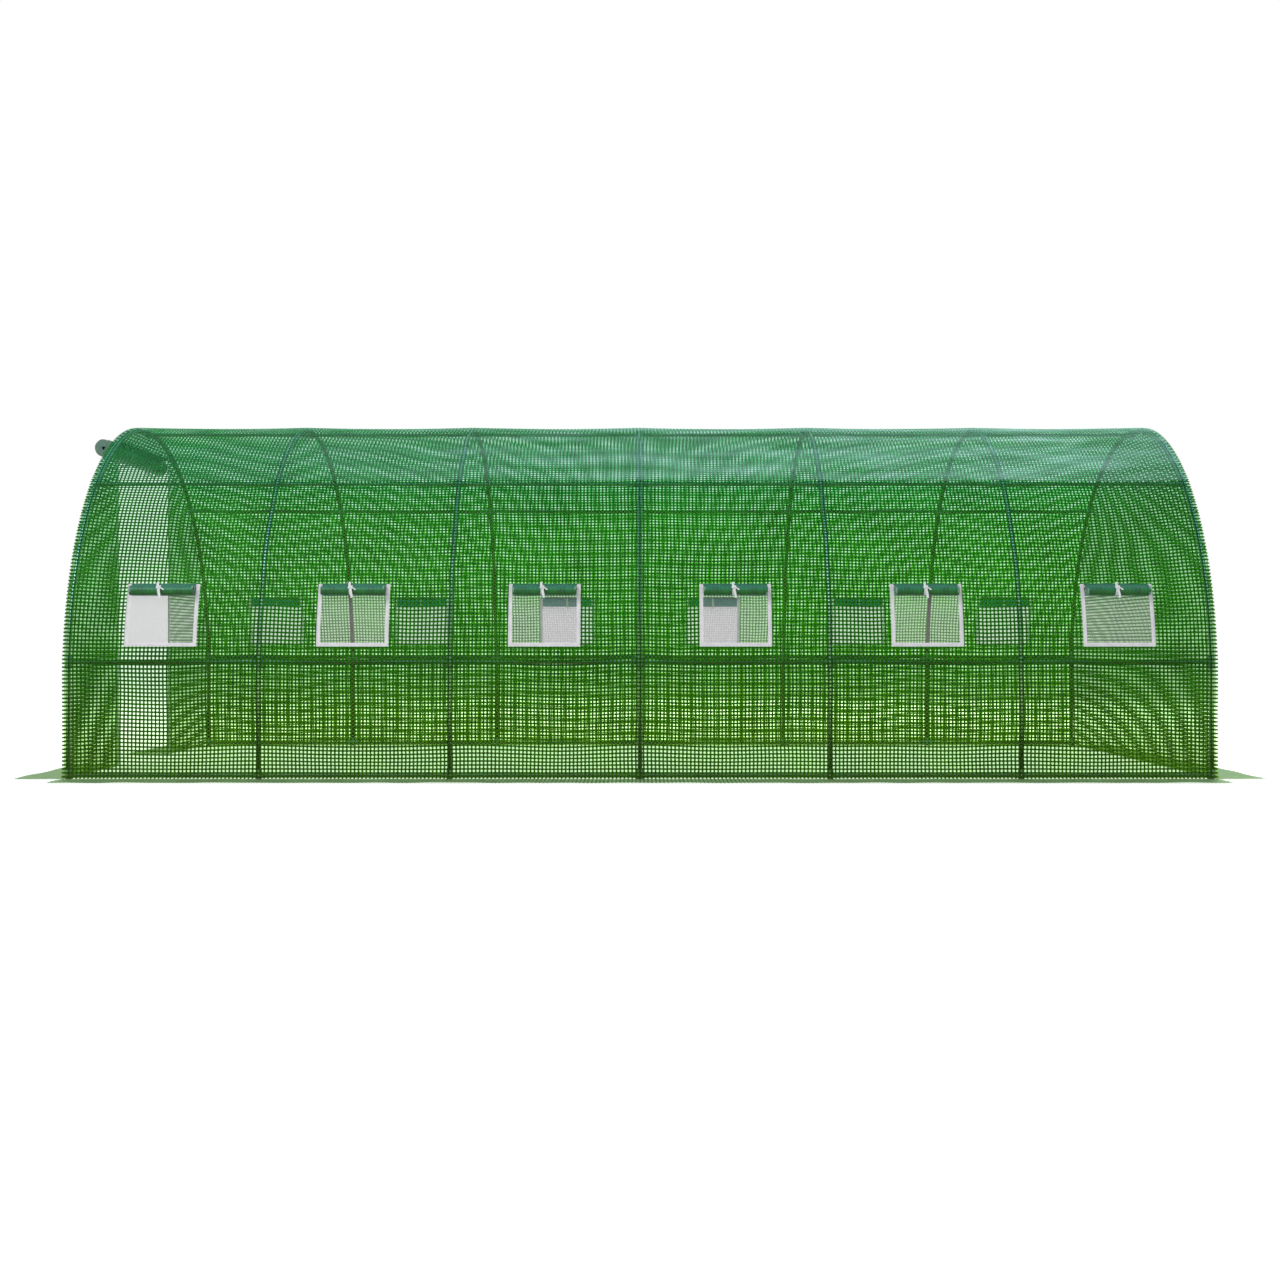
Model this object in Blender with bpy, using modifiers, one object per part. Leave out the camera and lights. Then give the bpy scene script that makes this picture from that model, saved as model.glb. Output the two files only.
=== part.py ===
"""Walk-in tunnel greenhouse, built as separate pieces.

Seven steel hoops stand one metre apart on X and carry seven straight rails. A reinforced sheet covers the
sides, the roof and both ends, with six roll-up windows in each long side and a roll-up door in the -X end.
Loose flaps lie on the ground round the foot. Metres, +Z up, origin on the ground under the middle.
"""

import math

import bmesh
import bpy
from mathutils import Matrix, Vector

NAME = "tunnel_greenhouse"

# Driving dimensions of the frame
BAY_LENGTH = 1.0
BAY_COUNT = 6
ARCH_RADIUS = 1.50
RAIL_RADIUS = 1.4875
LEG_HEIGHT = 0.495
HOOP_TUBE_RADIUS = 0.0125
RAIL_TUBE_RADIUS = 0.0095
GROUND_RAIL_HEIGHT = 0.020
MID_RAIL_ANGLE = 4.63
UPPER_RAIL_ANGLE = 47.5
RIDGE_ANGLE = 90.0
STRAIGHTS_LOW = 6
STRAIGHTS_HIGH = 6

# Connectors, moulded round each crossing of a hoop and a rail
HOOP_SLEEVE_RADIUS = 0.0165
RAIL_SLEEVE_RADIUS = 0.0142
SLEEVE_REACH = 0.038
LEG_TUBE_START = 0.004
RAIL_PLAY = 0.0005
RAIL_END_REACH = 0.0115
BORE_OVERRUN = 0.010
TUBE_BEVEL_RESOLUTION = 2

# Cover sheets
COVER_INNER_RADIUS = 1.521
COVER_THICKNESS = 0.003
SEAM_GAP = 0.0003
END_COVER_REACH = 0.021

# Ground flaps
FLAP_THICKNESS = 0.003
SIDE_FLAP_EDGE = 1.785
END_FLAP_EDGE = 3.280

# Windows
WINDOW_PITCH = 1.0075
WINDOW_HALF_WIDTH = 0.17
WINDOW_SILL_Z = 0.715
WINDOW_HEAD_Z = 1.005
NET_HALF_WIDTH = 0.19
NET_INNER_RADIUS = 1.5265
NET_THICKNESS = 0.002
NET_LOW_ANGLE = 7.60
NET_HIGH_ANGLE = 20.44
NET_STRAIGHTS = 3
WINDOW_ROLL_RADIUS = 0.030
WINDOW_ROLL_PATH_RADIUS = 1.5600
WINDOW_ROLL_ANGLE = 18.73
WINDOW_ROLL_SIDES = 12

# Door
DOOR_HALF_WIDTH = 0.53
DOOR_HEAD_Z = 1.78
DOOR_ROLL_RADIUS = 0.055
DOOR_ROLL_Z = 1.84
DOOR_ROLL_HALF_LENGTH = 0.595
DOOR_ROLL_STANDOFF = 0.014
DOOR_ROLL_SIDES = 20
ZIP_OFFSET = 0.015
ZIP_WIDTH = 0.024
ZIP_THICKNESS = 0.0015
ZIP_FOOT_Z = 0.006
SLIDER_SIZE = Vector((0.010, 0.012, 0.026))
SLIDER_Z = 1.745

# Worked out from the driving dimensions
HALF_LENGTH = BAY_LENGTH * BAY_COUNT / 2
COVER_OUTER_RADIUS = COVER_INNER_RADIUS + COVER_THICKNESS
END_COVER_INNER_X = HALF_LENGTH + END_COVER_REACH
END_COVER_OUTER_X = END_COVER_INNER_X + COVER_THICKNESS
SIDE_COVER_HALF_LENGTH = END_COVER_INNER_X - SEAM_GAP
WINDOW_CENTRES = [WINDOW_PITCH * (bay - (BAY_COUNT - 1) / 2) for bay in range(BAY_COUNT)]


def clear_scene():
    """Remove every object that is already in the scene."""
    for old in list(bpy.data.objects):
        bpy.data.objects.remove(old, do_unlink=True)


def new_collection(name):
    """Add a collection under the scene's own."""
    collection = bpy.data.collections.new(name)
    bpy.context.scene.collection.children.link(collection)
    return collection


def linear(channel):
    """Turn one sRGB channel from 0 to 255 into a linear value."""
    value = channel / 255
    return value / 12.92 if value <= 0.04045 else ((value + 0.055) / 1.055) ** 2.4


def new_material(name, rgb, roughness, metallic=0.0):
    """Add a plain material from an sRGB colour."""
    material = bpy.data.materials.new(name)
    material.use_nodes = True
    shader = material.node_tree.nodes["Principled BSDF"]
    shader.inputs["Base Color"].default_value = (*[linear(channel) for channel in rgb], 1.0)
    shader.inputs["Roughness"].default_value = roughness
    shader.inputs["Metallic"].default_value = metallic
    return material


def add_object(name, mesh, material, collection):
    """Link a mesh as a named object with its own copy of a material."""
    thing = bpy.data.objects.new(name, mesh)
    collection.objects.link(thing)
    if material is not None:
        own = material.copy()
        own.name = f"{name}_{material.name}"
        thing.data.materials.append(own)
    return thing


def add_cutter(name, mesh, collection):
    """Link a mesh as a cutting shape that is drawn as wire only."""
    cutter = add_object(name, mesh, None, collection)
    cutter.hide_render = True
    cutter.display_type = "WIRE"
    return cutter


def on_arch(radius, angle):
    """Y and Z at an angle in degrees round the arch, from 0 at the front (-Y) to 180 at the rear."""
    turn = math.radians(angle)
    return -radius * math.cos(turn), LEG_HEIGHT + radius * math.sin(turn)


def steps(first, last, count):
    """The angles that divide a stretch of arch into equal straights, both ends included."""
    return [first + (last - first) * step / count for step in range(count + 1)]


def front_angles():
    """Corners of the arch from the front leg to the ridge, with one on each rail."""
    low = steps(MID_RAIL_ANGLE, UPPER_RAIL_ANGLE, STRAIGHTS_LOW)
    high = steps(UPPER_RAIL_ANGLE, RIDGE_ANGLE, STRAIGHTS_HIGH)
    return [0.0] + low + high[1:]


def arch_angles():
    """Corners of the whole arch, front leg to rear leg."""
    front = front_angles()
    return front + [180 - angle for angle in reversed(front[:-1])]


def tube_mesh(name, points, radius):
    """A solid round bar along a path of straights, as one closed mesh."""
    curve = bpy.data.curves.new(name, "CURVE")
    curve.dimensions = "3D"
    curve.bevel_depth = radius
    curve.bevel_resolution = TUBE_BEVEL_RESOLUTION
    curve.use_fill_caps = True
    spline = curve.splines.new("POLY")
    spline.points.add(len(points) - 1)
    for spot, point in zip(spline.points, points):
        spot.co = (*point, 1.0)
    guide = bpy.data.objects.new(name, curve)
    bpy.context.scene.collection.objects.link(guide)
    bpy.context.view_layer.update()
    evaluated = guide.evaluated_get(bpy.context.evaluated_depsgraph_get())
    mesh = bpy.data.meshes.new_from_object(evaluated)
    mesh.transform(guide.matrix_world)
    bpy.data.objects.remove(guide, do_unlink=True)
    bpy.data.curves.remove(curve)
    shape = bmesh.new()
    shape.from_mesh(mesh)
    bmesh.ops.remove_doubles(shape, verts=shape.verts, dist=1e-6)
    bmesh.ops.recalc_face_normals(shape, faces=shape.faces)
    shape.to_mesh(mesh)
    shape.free()
    mesh.name = name
    return mesh


def smooth(mesh):
    """Shade a round piece smooth, with its sharp edges kept."""
    mesh.shade_smooth()
    mesh.set_sharp_from_angle(angle=math.radians(50))


def apply_modifiers(thing):
    """Replace an object's mesh with the result of its modifiers."""
    bpy.context.view_layer.update()
    evaluated = thing.evaluated_get(bpy.context.evaluated_depsgraph_get())
    mesh = bpy.data.meshes.new_from_object(evaluated)
    thing.modifiers.clear()
    thing.data = mesh


def add_boolean(thing, operation, operand):
    """Join or cut an object with an object or with each object of a collection."""
    boolean = thing.modifiers.new(operation.lower(), "BOOLEAN")
    boolean.operation = operation
    boolean.solver = "EXACT"
    if isinstance(operand, bpy.types.Collection):
        boolean.operand_type = "COLLECTION"
        boolean.collection = operand
    else:
        boolean.object = operand


def rail_places():
    """Name, Y and Z of each rail, which run just inside the hoops' centre line."""
    places = {"ridge_rail": on_arch(RAIL_RADIUS, RIDGE_ANGLE)}
    for side, facing in (("front", 1), ("rear", -1)):
        upper_y, upper_z = on_arch(RAIL_RADIUS, UPPER_RAIL_ANGLE)
        mid_y, mid_z = on_arch(RAIL_RADIUS, MID_RAIL_ANGLE)
        places[f"upper_rail_{side}"] = (facing * upper_y, upper_z)
        places[f"mid_rail_{side}"] = (facing * mid_y, mid_z)
        places[f"ground_rail_{side}"] = (-facing * RAIL_RADIUS, GROUND_RAIL_HEIGHT)
    return places


def hoop_sleeve_ends(rail, y, z):
    """Ends of the connector's socket along the hoop, which is straight up at the ground rails."""
    if rail.startswith("ground"):
        foot_y = math.copysign(ARCH_RADIUS, y)
        return (0, foot_y, 0), (0, foot_y, z + SLEEVE_REACH)
    outward_way = Vector((0, y, z - LEG_HEIGHT)).normalized()
    centre = Vector((0, 0, LEG_HEIGHT)) + outward_way * ARCH_RADIUS
    along = Vector((0, outward_way.z, -outward_way.y)) * SLEEVE_REACH
    return centre - along, centre + along


def hoop_path():
    """Centre line of a hoop at X = 0, foot to foot."""
    arch = [on_arch(ARCH_RADIUS, angle) for angle in arch_angles()]
    feet = [(-ARCH_RADIUS, LEG_TUBE_START), (ARCH_RADIUS, LEG_TUBE_START)]
    return [(0, *point) for point in [feet[0]] + arch + [feet[1]]]


def hoop_mesh(name, outer_reach, bore_reach, cutters):
    """A bent tube with a connector at each rail, bored for the rail.

    outer_reach is how far the rail sockets go on the +X side, and bore_reach how far their bores go.
    """
    joined = bpy.data.collections.new(f"{name}_sleeves")
    bores = bpy.data.collections.new(f"{name}_bores")
    cutters.children.link(joined)
    cutters.children.link(bores)
    for rail, (y, z) in rail_places().items():
        along_hoop = tube_mesh(f"{name}_{rail}_a", hoop_sleeve_ends(rail, y, z), HOOP_SLEEVE_RADIUS)
        along_rail = tube_mesh(
            f"{name}_{rail}_b", [(-SLEEVE_REACH, y, z), (outer_reach, y, z)], RAIL_SLEEVE_RADIUS
        )
        bore_start = -SLEEVE_REACH - BORE_OVERRUN
        bore = tube_mesh(
            f"{name}_{rail}_c", [(bore_start, y, z), (bore_reach, y, z)], RAIL_TUBE_RADIUS + RAIL_PLAY
        )
        add_cutter(along_hoop.name, along_hoop, joined)
        add_cutter(along_rail.name, along_rail, joined)
        add_cutter(bore.name, bore, bores)
    tube = add_cutter(name, tube_mesh(name, hoop_path(), HOOP_TUBE_RADIUS), cutters)
    add_boolean(tube, "UNION", joined)
    add_boolean(tube, "DIFFERENCE", bores)
    apply_modifiers(tube)
    mesh = tube.data.copy()
    mesh.materials.clear()
    smooth(mesh)
    bpy.data.objects.remove(tube, do_unlink=True)
    return mesh


def add_hoops(parts, cutters, steel):
    """Seven hoops. The two end hoops have their rail sockets on the inner side only."""
    middle = hoop_mesh("middle_hoop", SLEEVE_REACH, SLEEVE_REACH + BORE_OVERRUN, cutters)
    end = hoop_mesh("end_hoop", 0.0, RAIL_END_REACH + RAIL_PLAY, cutters)
    for index in range(BAY_COUNT + 1):
        at_end = index in (0, BAY_COUNT)
        hoop = add_object(f"hoop_{index + 1}", (end if at_end else middle).copy(), steel, parts)
        hoop.location.x = index * BAY_LENGTH - HALF_LENGTH
        if index == 0:
            hoop.rotation_euler.z = math.pi


def add_rails(parts, steel):
    """Seven straight rails that run through the connectors from end hoop to end hoop."""
    reach = HALF_LENGTH + RAIL_END_REACH
    for name, (y, z) in rail_places().items():
        mesh = tube_mesh(name, [(-reach, 0, 0), (reach, 0, 0)], RAIL_TUBE_RADIUS)
        smooth(mesh)
        rail = add_object(name, mesh, steel, parts)
        rail.location = (0, y, z)


def strip_mesh(name, profile, half_length):
    """An open sheet: a profile of Y and Z points drawn out along X, with its normals outward."""
    mesh = bpy.data.meshes.new(name)
    shape = bmesh.new()
    near = [shape.verts.new((-half_length, y, z)) for y, z in profile]
    edges = [shape.edges.new(pair) for pair in zip(near, near[1:])]
    drawn = bmesh.ops.extrude_edge_only(shape, edges=edges)
    far = [item for item in drawn["geom"] if isinstance(item, bmesh.types.BMVert)]
    bmesh.ops.translate(shape, verts=far, vec=(2 * half_length, 0, 0))
    shape.normal_update()
    inward = [face for face in shape.faces if face.normal.dot(outward(face)) < 0]
    bmesh.ops.reverse_faces(shape, faces=inward)
    shape.to_mesh(mesh)
    shape.free()
    return mesh


def outward(face):
    """The direction away from the tunnel's own axis at a face."""
    centre = face.calc_center_median()
    return Vector((0, centre.y, max(centre.z - LEG_HEIGHT, 0)))


def thicken(thing, thickness):
    """Give an open sheet its thickness, outward from its inner face."""
    solidify = thing.modifiers.new("thickness", "SOLIDIFY")
    solidify.thickness = thickness
    solidify.offset = 1.0
    solidify.use_even_offset = True


def cube_mesh(name, boxes):
    """Closed boxes in one mesh, each from its low and high corner."""
    mesh = bpy.data.meshes.new(name)
    shape = bmesh.new()
    for low, high in boxes:
        middle = (Vector(low) + Vector(high)) / 2
        size = Vector(high) - Vector(low)
        place = Matrix.Translation(middle) @ Matrix.Diagonal((*size, 1.0))
        bmesh.ops.create_cube(shape, size=1.0, matrix=place)
    shape.to_mesh(mesh)
    shape.free()
    return mesh


def add_side_covers(parts, cutters, sheet):
    """Front and rear side sheets, ground to upper rail, with six window openings each."""
    gap = math.degrees(SEAM_GAP / 2 / COVER_INNER_RADIUS)
    angles = [angle for angle in front_angles() if angle < UPPER_RAIL_ANGLE] + [UPPER_RAIL_ANGLE - gap]
    profile = [(-COVER_INNER_RADIUS, 0.0)]
    profile += [on_arch(COVER_INNER_RADIUS, angle) for angle in angles]
    openings = [
        (
            (x - WINDOW_HALF_WIDTH, -COVER_OUTER_RADIUS - BORE_OVERRUN, WINDOW_SILL_Z),
            (x + WINDOW_HALF_WIDTH, -ARCH_RADIUS / 2, WINDOW_HEAD_Z),
        )
        for x in WINDOW_CENTRES
    ]
    for side, turn in (("front", 0.0), ("rear", math.pi)):
        name = f"side_cover_{side}"
        cover = add_object(name, strip_mesh(name, profile, SIDE_COVER_HALF_LENGTH), sheet, parts)
        cutter = add_cutter(f"{name}_openings", cube_mesh(f"{name}_openings", openings), cutters)
        for thing in (cover, cutter):
            thing.rotation_euler.z = turn
        thicken(cover, COVER_THICKNESS)
        add_boolean(cover, "DIFFERENCE", cutter)


def add_roof_cover(parts, sheet):
    """The roof sheet, from one upper rail over the ridge to the other."""
    gap = math.degrees(SEAM_GAP / 2 / COVER_INNER_RADIUS)
    first, last = UPPER_RAIL_ANGLE + gap, 180 - UPPER_RAIL_ANGLE - gap
    between = [angle for angle in arch_angles() if first < angle < last]
    profile = [on_arch(COVER_INNER_RADIUS, angle) for angle in [first] + between + [last]]
    roof = add_object("roof_cover", strip_mesh("roof_cover", profile, SIDE_COVER_HALF_LENGTH), sheet, parts)
    thicken(roof, COVER_THICKNESS)


def end_outline():
    """Outline of an end sheet in Y and Z, the same section as the outside of the long cover."""
    arch = [on_arch(COVER_OUTER_RADIUS, angle) for angle in arch_angles()]
    return [(-COVER_OUTER_RADIUS, 0.0)] + arch + [(COVER_OUTER_RADIUS, 0.0)]


def add_flat_cover(name, outline, x, parts, sheet):
    """A flat sheet across the tunnel, cut to an outline in Y and Z, with its middle at X."""
    curve = bpy.data.curves.new(name, "CURVE")
    curve.dimensions = "2D"
    curve.fill_mode = "BOTH"
    curve.extrude = COVER_THICKNESS / 2
    spline = curve.splines.new("POLY")
    spline.points.add(len(outline) - 1)
    for spot, point in zip(spline.points, outline):
        spot.co = (*point, 0.0, 1.0)
    spline.use_cyclic_u = True
    panel = add_object(name, curve, sheet, parts)
    panel.rotation_euler = (math.pi / 2, 0, math.pi / 2)
    panel.location.x = x
    weld = panel.modifiers.new("weld", "WELD")
    weld.merge_threshold = 1e-5


def add_end_covers(parts, sheet):
    """The closed sheet of the +X end and the -X end's sheet round the doorway."""
    middle = (END_COVER_INNER_X + END_COVER_OUTER_X) / 2
    doorway = [
        (DOOR_HALF_WIDTH, 0.0),
        (DOOR_HALF_WIDTH, DOOR_HEAD_Z),
        (-DOOR_HALF_WIDTH, DOOR_HEAD_Z),
        (-DOOR_HALF_WIDTH, 0.0),
    ]
    add_flat_cover("plain_end_cover", end_outline(), middle, parts, sheet)
    add_flat_cover("door_end_cover", end_outline() + doorway, -middle, parts, sheet)


def add_box(name, low, high, material, parts):
    """A box from its low and high corner, with its origin at its middle."""
    middle = (Vector(low) + Vector(high)) / 2
    mesh = cube_mesh(name, [(Vector(low) - middle, Vector(high) - middle)])
    box = add_object(name, mesh, material, parts)
    box.location = middle
    return box


def add_ground_flaps(parts, film):
    """Loose flaps on the ground outside the cover, open at the corners and at the doorway."""
    inner_y = COVER_OUTER_RADIUS + SEAM_GAP
    inner_x = END_COVER_OUTER_X + SEAM_GAP
    reach = SIDE_COVER_HALF_LENGTH
    door_y = DOOR_HALF_WIDTH
    spans = {
        "ground_flap_front": ((-reach, -SIDE_FLAP_EDGE), (reach, -inner_y)),
        "ground_flap_rear": ((-reach, inner_y), (reach, SIDE_FLAP_EDGE)),
        "ground_flap_plain_end": ((inner_x, -COVER_OUTER_RADIUS), (END_FLAP_EDGE, COVER_OUTER_RADIUS)),
        "ground_flap_door_front": ((-END_FLAP_EDGE, -COVER_OUTER_RADIUS), (-inner_x, -door_y)),
        "ground_flap_door_rear": ((-END_FLAP_EDGE, door_y), (-inner_x, COVER_OUTER_RADIUS)),
    }
    for name, (low, high) in spans.items():
        add_box(name, (*low, 0.0), (*high, FLAP_THICKNESS), film, parts)


def add_windows(parts, net, sheet):
    """Window nets on the outside of the cover, and the rolled-up flap above each.

    A roll's origin is on the arch's own axis, because it travels down the curve of the cover.
    """
    net_angles = steps(NET_LOW_ANGLE, NET_HIGH_ANGLE, NET_STRAIGHTS)
    profile = [on_arch(NET_INNER_RADIUS, angle) for angle in net_angles]
    roll_y, roll_z = on_arch(WINDOW_ROLL_PATH_RADIUS, WINDOW_ROLL_ANGLE)
    for side, turn in (("front", 0.0), ("rear", math.pi)):
        for index, x in enumerate(WINDOW_CENTRES, 1):
            name = f"window_net_{side}_{index}"
            window = add_object(name, strip_mesh(name, profile, NET_HALF_WIDTH), net, parts)
            window.location.x = x
            window.rotation_euler.z = turn
            thicken(window, NET_THICKNESS)
            name = f"window_roll_{side}_{index}"
            offset = (0, roll_y, roll_z - LEG_HEIGHT)
            mesh = roll_mesh(name, WINDOW_ROLL_RADIUS, NET_HALF_WIDTH, WINDOW_ROLL_SIDES, "X", offset)
            roll = add_object(name, mesh, sheet, parts)
            roll.location = (x, 0, LEG_HEIGHT)
            roll.rotation_euler.z = turn


def roll_mesh(name, radius, half_length, sides, axis, offset=(0, 0, 0)):
    """A round roll lying along X or Y."""
    mesh = bpy.data.meshes.new(name)
    shape = bmesh.new()
    lay = Matrix.Rotation(math.pi / 2, 4, "Y" if axis == "X" else "X")
    bmesh.ops.create_cone(
        shape,
        cap_ends=True,
        segments=sides,
        radius1=radius,
        radius2=radius,
        depth=2 * half_length,
        matrix=Matrix.Translation(offset) @ lay,
    )
    shape.to_mesh(mesh)
    shape.free()
    smooth(mesh)
    return mesh


def add_door(parts, sheet, tape, pull):
    """The rolled-up door above the doorway, the zip down each edge and its slider."""
    face_x = -END_COVER_OUTER_X
    mesh = roll_mesh("door_roll", DOOR_ROLL_RADIUS, DOOR_ROLL_HALF_LENGTH, DOOR_ROLL_SIDES, "Y")
    roll = add_object("door_roll", mesh, sheet, parts)
    roll.location = (face_x - DOOR_ROLL_STANDOFF - DOOR_ROLL_RADIUS, 0, DOOR_ROLL_Z)
    for side, facing in (("front", -1), ("rear", 1)):
        y = facing * (DOOR_HALF_WIDTH + ZIP_OFFSET)
        tape_x = face_x - SEAM_GAP
        low = (tape_x - ZIP_THICKNESS, y - ZIP_WIDTH / 2, ZIP_FOOT_Z)
        add_box(f"door_zip_{side}", low, (tape_x, y + ZIP_WIDTH / 2, DOOR_HEAD_Z), tape, parts)
        slider_x = tape_x - ZIP_THICKNESS - SEAM_GAP
        middle = Vector((slider_x - SLIDER_SIZE.x / 2, y, SLIDER_Z))
        low, high = middle - SLIDER_SIZE / 2, middle + SLIDER_SIZE / 2
        add_box(f"zip_slider_{side}", low, high, pull, parts)


def build():
    """Model the whole greenhouse."""
    clear_scene()
    parts = new_collection(NAME)
    cutters = new_collection(f"{NAME}_cutters")
    steel = new_material("coated_steel", (63, 111, 132), 0.35, 0.6)
    sheet = new_material("reinforced_film", (31, 107, 66), 0.45)
    film = new_material("flap_film", (150, 190, 150), 0.5)
    net = new_material("white_net", (216, 216, 218), 0.7)
    tape = new_material("zip_tape", (225, 225, 222), 0.6)
    pull = new_material("zip_pull", (190, 190, 190), 0.4)
    add_hoops(parts, cutters, steel)
    add_rails(parts, steel)
    add_side_covers(parts, cutters, sheet)
    add_roof_cover(parts, sheet)
    add_end_covers(parts, sheet)
    add_ground_flaps(parts, film)
    add_windows(parts, net, sheet)
    add_door(parts, sheet, tape, pull)


build()
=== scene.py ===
import math
import random
import typing

import bmesh
import bpy
import numpy as np
from mathutils import Matrix, Vector


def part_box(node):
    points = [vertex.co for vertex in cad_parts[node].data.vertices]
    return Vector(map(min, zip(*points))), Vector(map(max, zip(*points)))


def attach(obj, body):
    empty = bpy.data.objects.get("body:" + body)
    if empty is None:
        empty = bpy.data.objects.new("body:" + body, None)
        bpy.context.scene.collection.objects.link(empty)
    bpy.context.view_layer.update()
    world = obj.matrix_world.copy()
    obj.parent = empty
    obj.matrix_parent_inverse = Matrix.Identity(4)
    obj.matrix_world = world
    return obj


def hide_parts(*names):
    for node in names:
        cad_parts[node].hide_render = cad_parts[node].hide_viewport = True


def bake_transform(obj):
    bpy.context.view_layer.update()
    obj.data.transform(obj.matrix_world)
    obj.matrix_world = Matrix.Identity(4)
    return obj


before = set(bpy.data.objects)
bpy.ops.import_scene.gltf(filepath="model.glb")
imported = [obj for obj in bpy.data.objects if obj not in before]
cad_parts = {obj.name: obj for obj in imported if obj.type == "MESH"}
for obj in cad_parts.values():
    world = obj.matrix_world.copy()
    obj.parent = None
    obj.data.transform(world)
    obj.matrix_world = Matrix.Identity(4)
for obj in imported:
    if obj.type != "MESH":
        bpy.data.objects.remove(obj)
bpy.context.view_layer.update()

# Sizes in metres and angles in degrees, as in the part's source. X runs along the tunnel and the arch's
# centre line is at Y 0, Z LEG_HEIGHT.
HALF_LENGTH = 3.0
ARCH_RADIUS = 1.50
RAIL_RADIUS = 1.4875
LEG_HEIGHT = 0.495
HOOP_TUBE_RADIUS = 0.0125
RAIL_TUBE_RADIUS = 0.0095
HOOP_SLEEVE_RADIUS = 0.0160
RAIL_SLEEVE_RADIUS = 0.0138
SLEEVE_EDGE = 0.0015
SLEEVE_REACH = 0.038
HOOP_SLEEVE_REACH = 0.036
FOOT_SPAN = (0.0008, 0.056)
END_SLEEVE_REACH = 0.0165
BOLT_RISES = (0.0, 0.0075, 0.0105)
BOSS_RADIUS = 0.0075
BOLT_RADIUS = 0.0048
GROUND_RAIL_HEIGHT = 0.020
LEG_TUBE_START = 0.004
RAIL_ANGLES = (4.63, 47.5, 90.0, 132.5, 175.37)
COVER_HALF_LENGTH = 3.0207
END_FILM_X = 3.0225
WINDOW_PITCH = 1.0075
WINDOW_CENTRES = tuple(WINDOW_PITCH * (index - 2.5) for index in range(6))
WINDOW_ROLL_RADIUS = 1.5500
WINDOW_ROLL_ANGLE = 18.73
WINDOW_ROLL_HALF_LENGTH = 0.168
DOOR_HALF_WIDTH = 0.53
DOOR_HEAD_Z = 1.78
# the film is open to here behind the rolled-up door, which hangs in the top of the doorway
DOOR_OPENING_Z = 1.872
DOOR_ROLL_X = -3.093
DOOR_ROLL_Z = 1.84
DOOR_ROLL_HALF_LENGTH = 0.589
SIDE_FLAP_SEAM = 1.5243
SIDE_FLAP_EDGE = 1.785
END_FLAP_SEAM = 3.0243
END_FLAP_EDGE = 3.280
END_FLAP_HALF_WIDTH = 1.524
ZIP_WIDTH = 0.024
JAMB_WIDTH = 0.044
TEETH_COUNT = 340
TOOTH_SIZE = (0.0016, 0.0060, 0.0030)
SLIDER_SIZE = (0.008, 0.0115, 0.020)
PULL_SIZE = (0.0014, 0.0070, 0.030)

# The cover: a clear film with a woven grid of green tapes.
GRID_PITCH = 0.0205
TAPE_WIDTH = 0.0095
TAPE_LIFT = 0.0004
TAPE_OVERHANG = 0.009
FILM_LIFT = 0.0009
SKIN_RADIUS = 1.5145
SAGGED_RADIUS = 1.5070
FOOT_RADIUS = 1.5248
END_EDGE = 1.5185
ROUND_LENGTH = 2 * LEG_HEIGHT + math.pi * SKIN_RADIUS
LOWEST_FILM = 0.004
FLARE_HEIGHT = 0.022
# A rail is felt in the film to RAIL_REACH on each side. The rises say how far the film stands out over the
# rails, the connectors, the ridge and the windows, and the waves how high it waves between them.
RAIL_REACH = 0.045
RAIL_RISE = 0.0010
CONNECTOR_RISE = 0.0045
RIDGE_RISE = 0.0070
WINDOW_RISE = 0.0040
BAY_WAVE = 0.0016
FOOT_WAVE = 0.0035
END_WAVE = 0.0030
END_FLARE = 0.0022
# How far the woven grid strays, and sags between hoops, and how a ground flap lies.
GRID_DRIFT = 0.0050
GRID_SAG = 0.009
FLAP_BASE = 0.0016
FLAP_RISE = 0.0030
FLAP_WAVE = 0.0022

# How far pieces stand off the film or the door's end: out is positive.
BORDER_LIFTS = (0.0014, -0.0011)
STRIP_LIFT = 0.0012
NET_LIFT = -0.0016
LINING_LIFT = -0.0026
INNER_TIE_LIFT = -0.0040
ZIP_LIFT = 0.0016
TEETH_LIFT = 0.0026
JAMB_LIFT = -0.0022


def up_cover(angle):
    """Metres up the cover's section from its front foot to this angle of the arch."""
    return LEG_HEIGHT + SKIN_RADIUS * math.radians(angle)


SEAM_LOW = up_cover(RAIL_ANGLES[1])
SEAM_HIGH = ROUND_LENGTH - SEAM_LOW
# The window's hole in the film, half as wide as HOLE_REACH says, and up the section from its foot.
HOLE_REACH = 0.1835
HOLE_LOW = up_cover(7.90)
HOLE_HIGH = up_cover(20.39)
BORDER_OUT = 0.0065
BORDER_IN = 0.0135
LINING_ANGLES = (18.15, 18.7, 19.2, 19.8, 20.4)

# How flat a roll hangs under its own weight, where its sheet's outer end leaves it, and how its ties draw
# it in.
ROLL_HEIGHT = 0.985
ROLL_START = math.radians(118)
TIE_WIDTH = 0.016
PINCH_DEPTH = 0.13
PINCH_WIDTH = 0.018

# The camera's place and lens, from the hoops' spacing in the photograph.
CAMERA_PLACE = (0, -10.71, 0.72)
CAMERA_LENS = 49.36
CAMERA_SHIFT = 0.0016


def linear(code, alpha=1.0):
    """An sRGB hex colour as linear RGBA."""
    values = [int(code[i:i + 2], 16) / 255 for i in (0, 2, 4)]
    return [v / 12.92 if v <= 0.04045 else ((v + 0.055) / 1.055) ** 2.4 for v in values] + [alpha]


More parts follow.
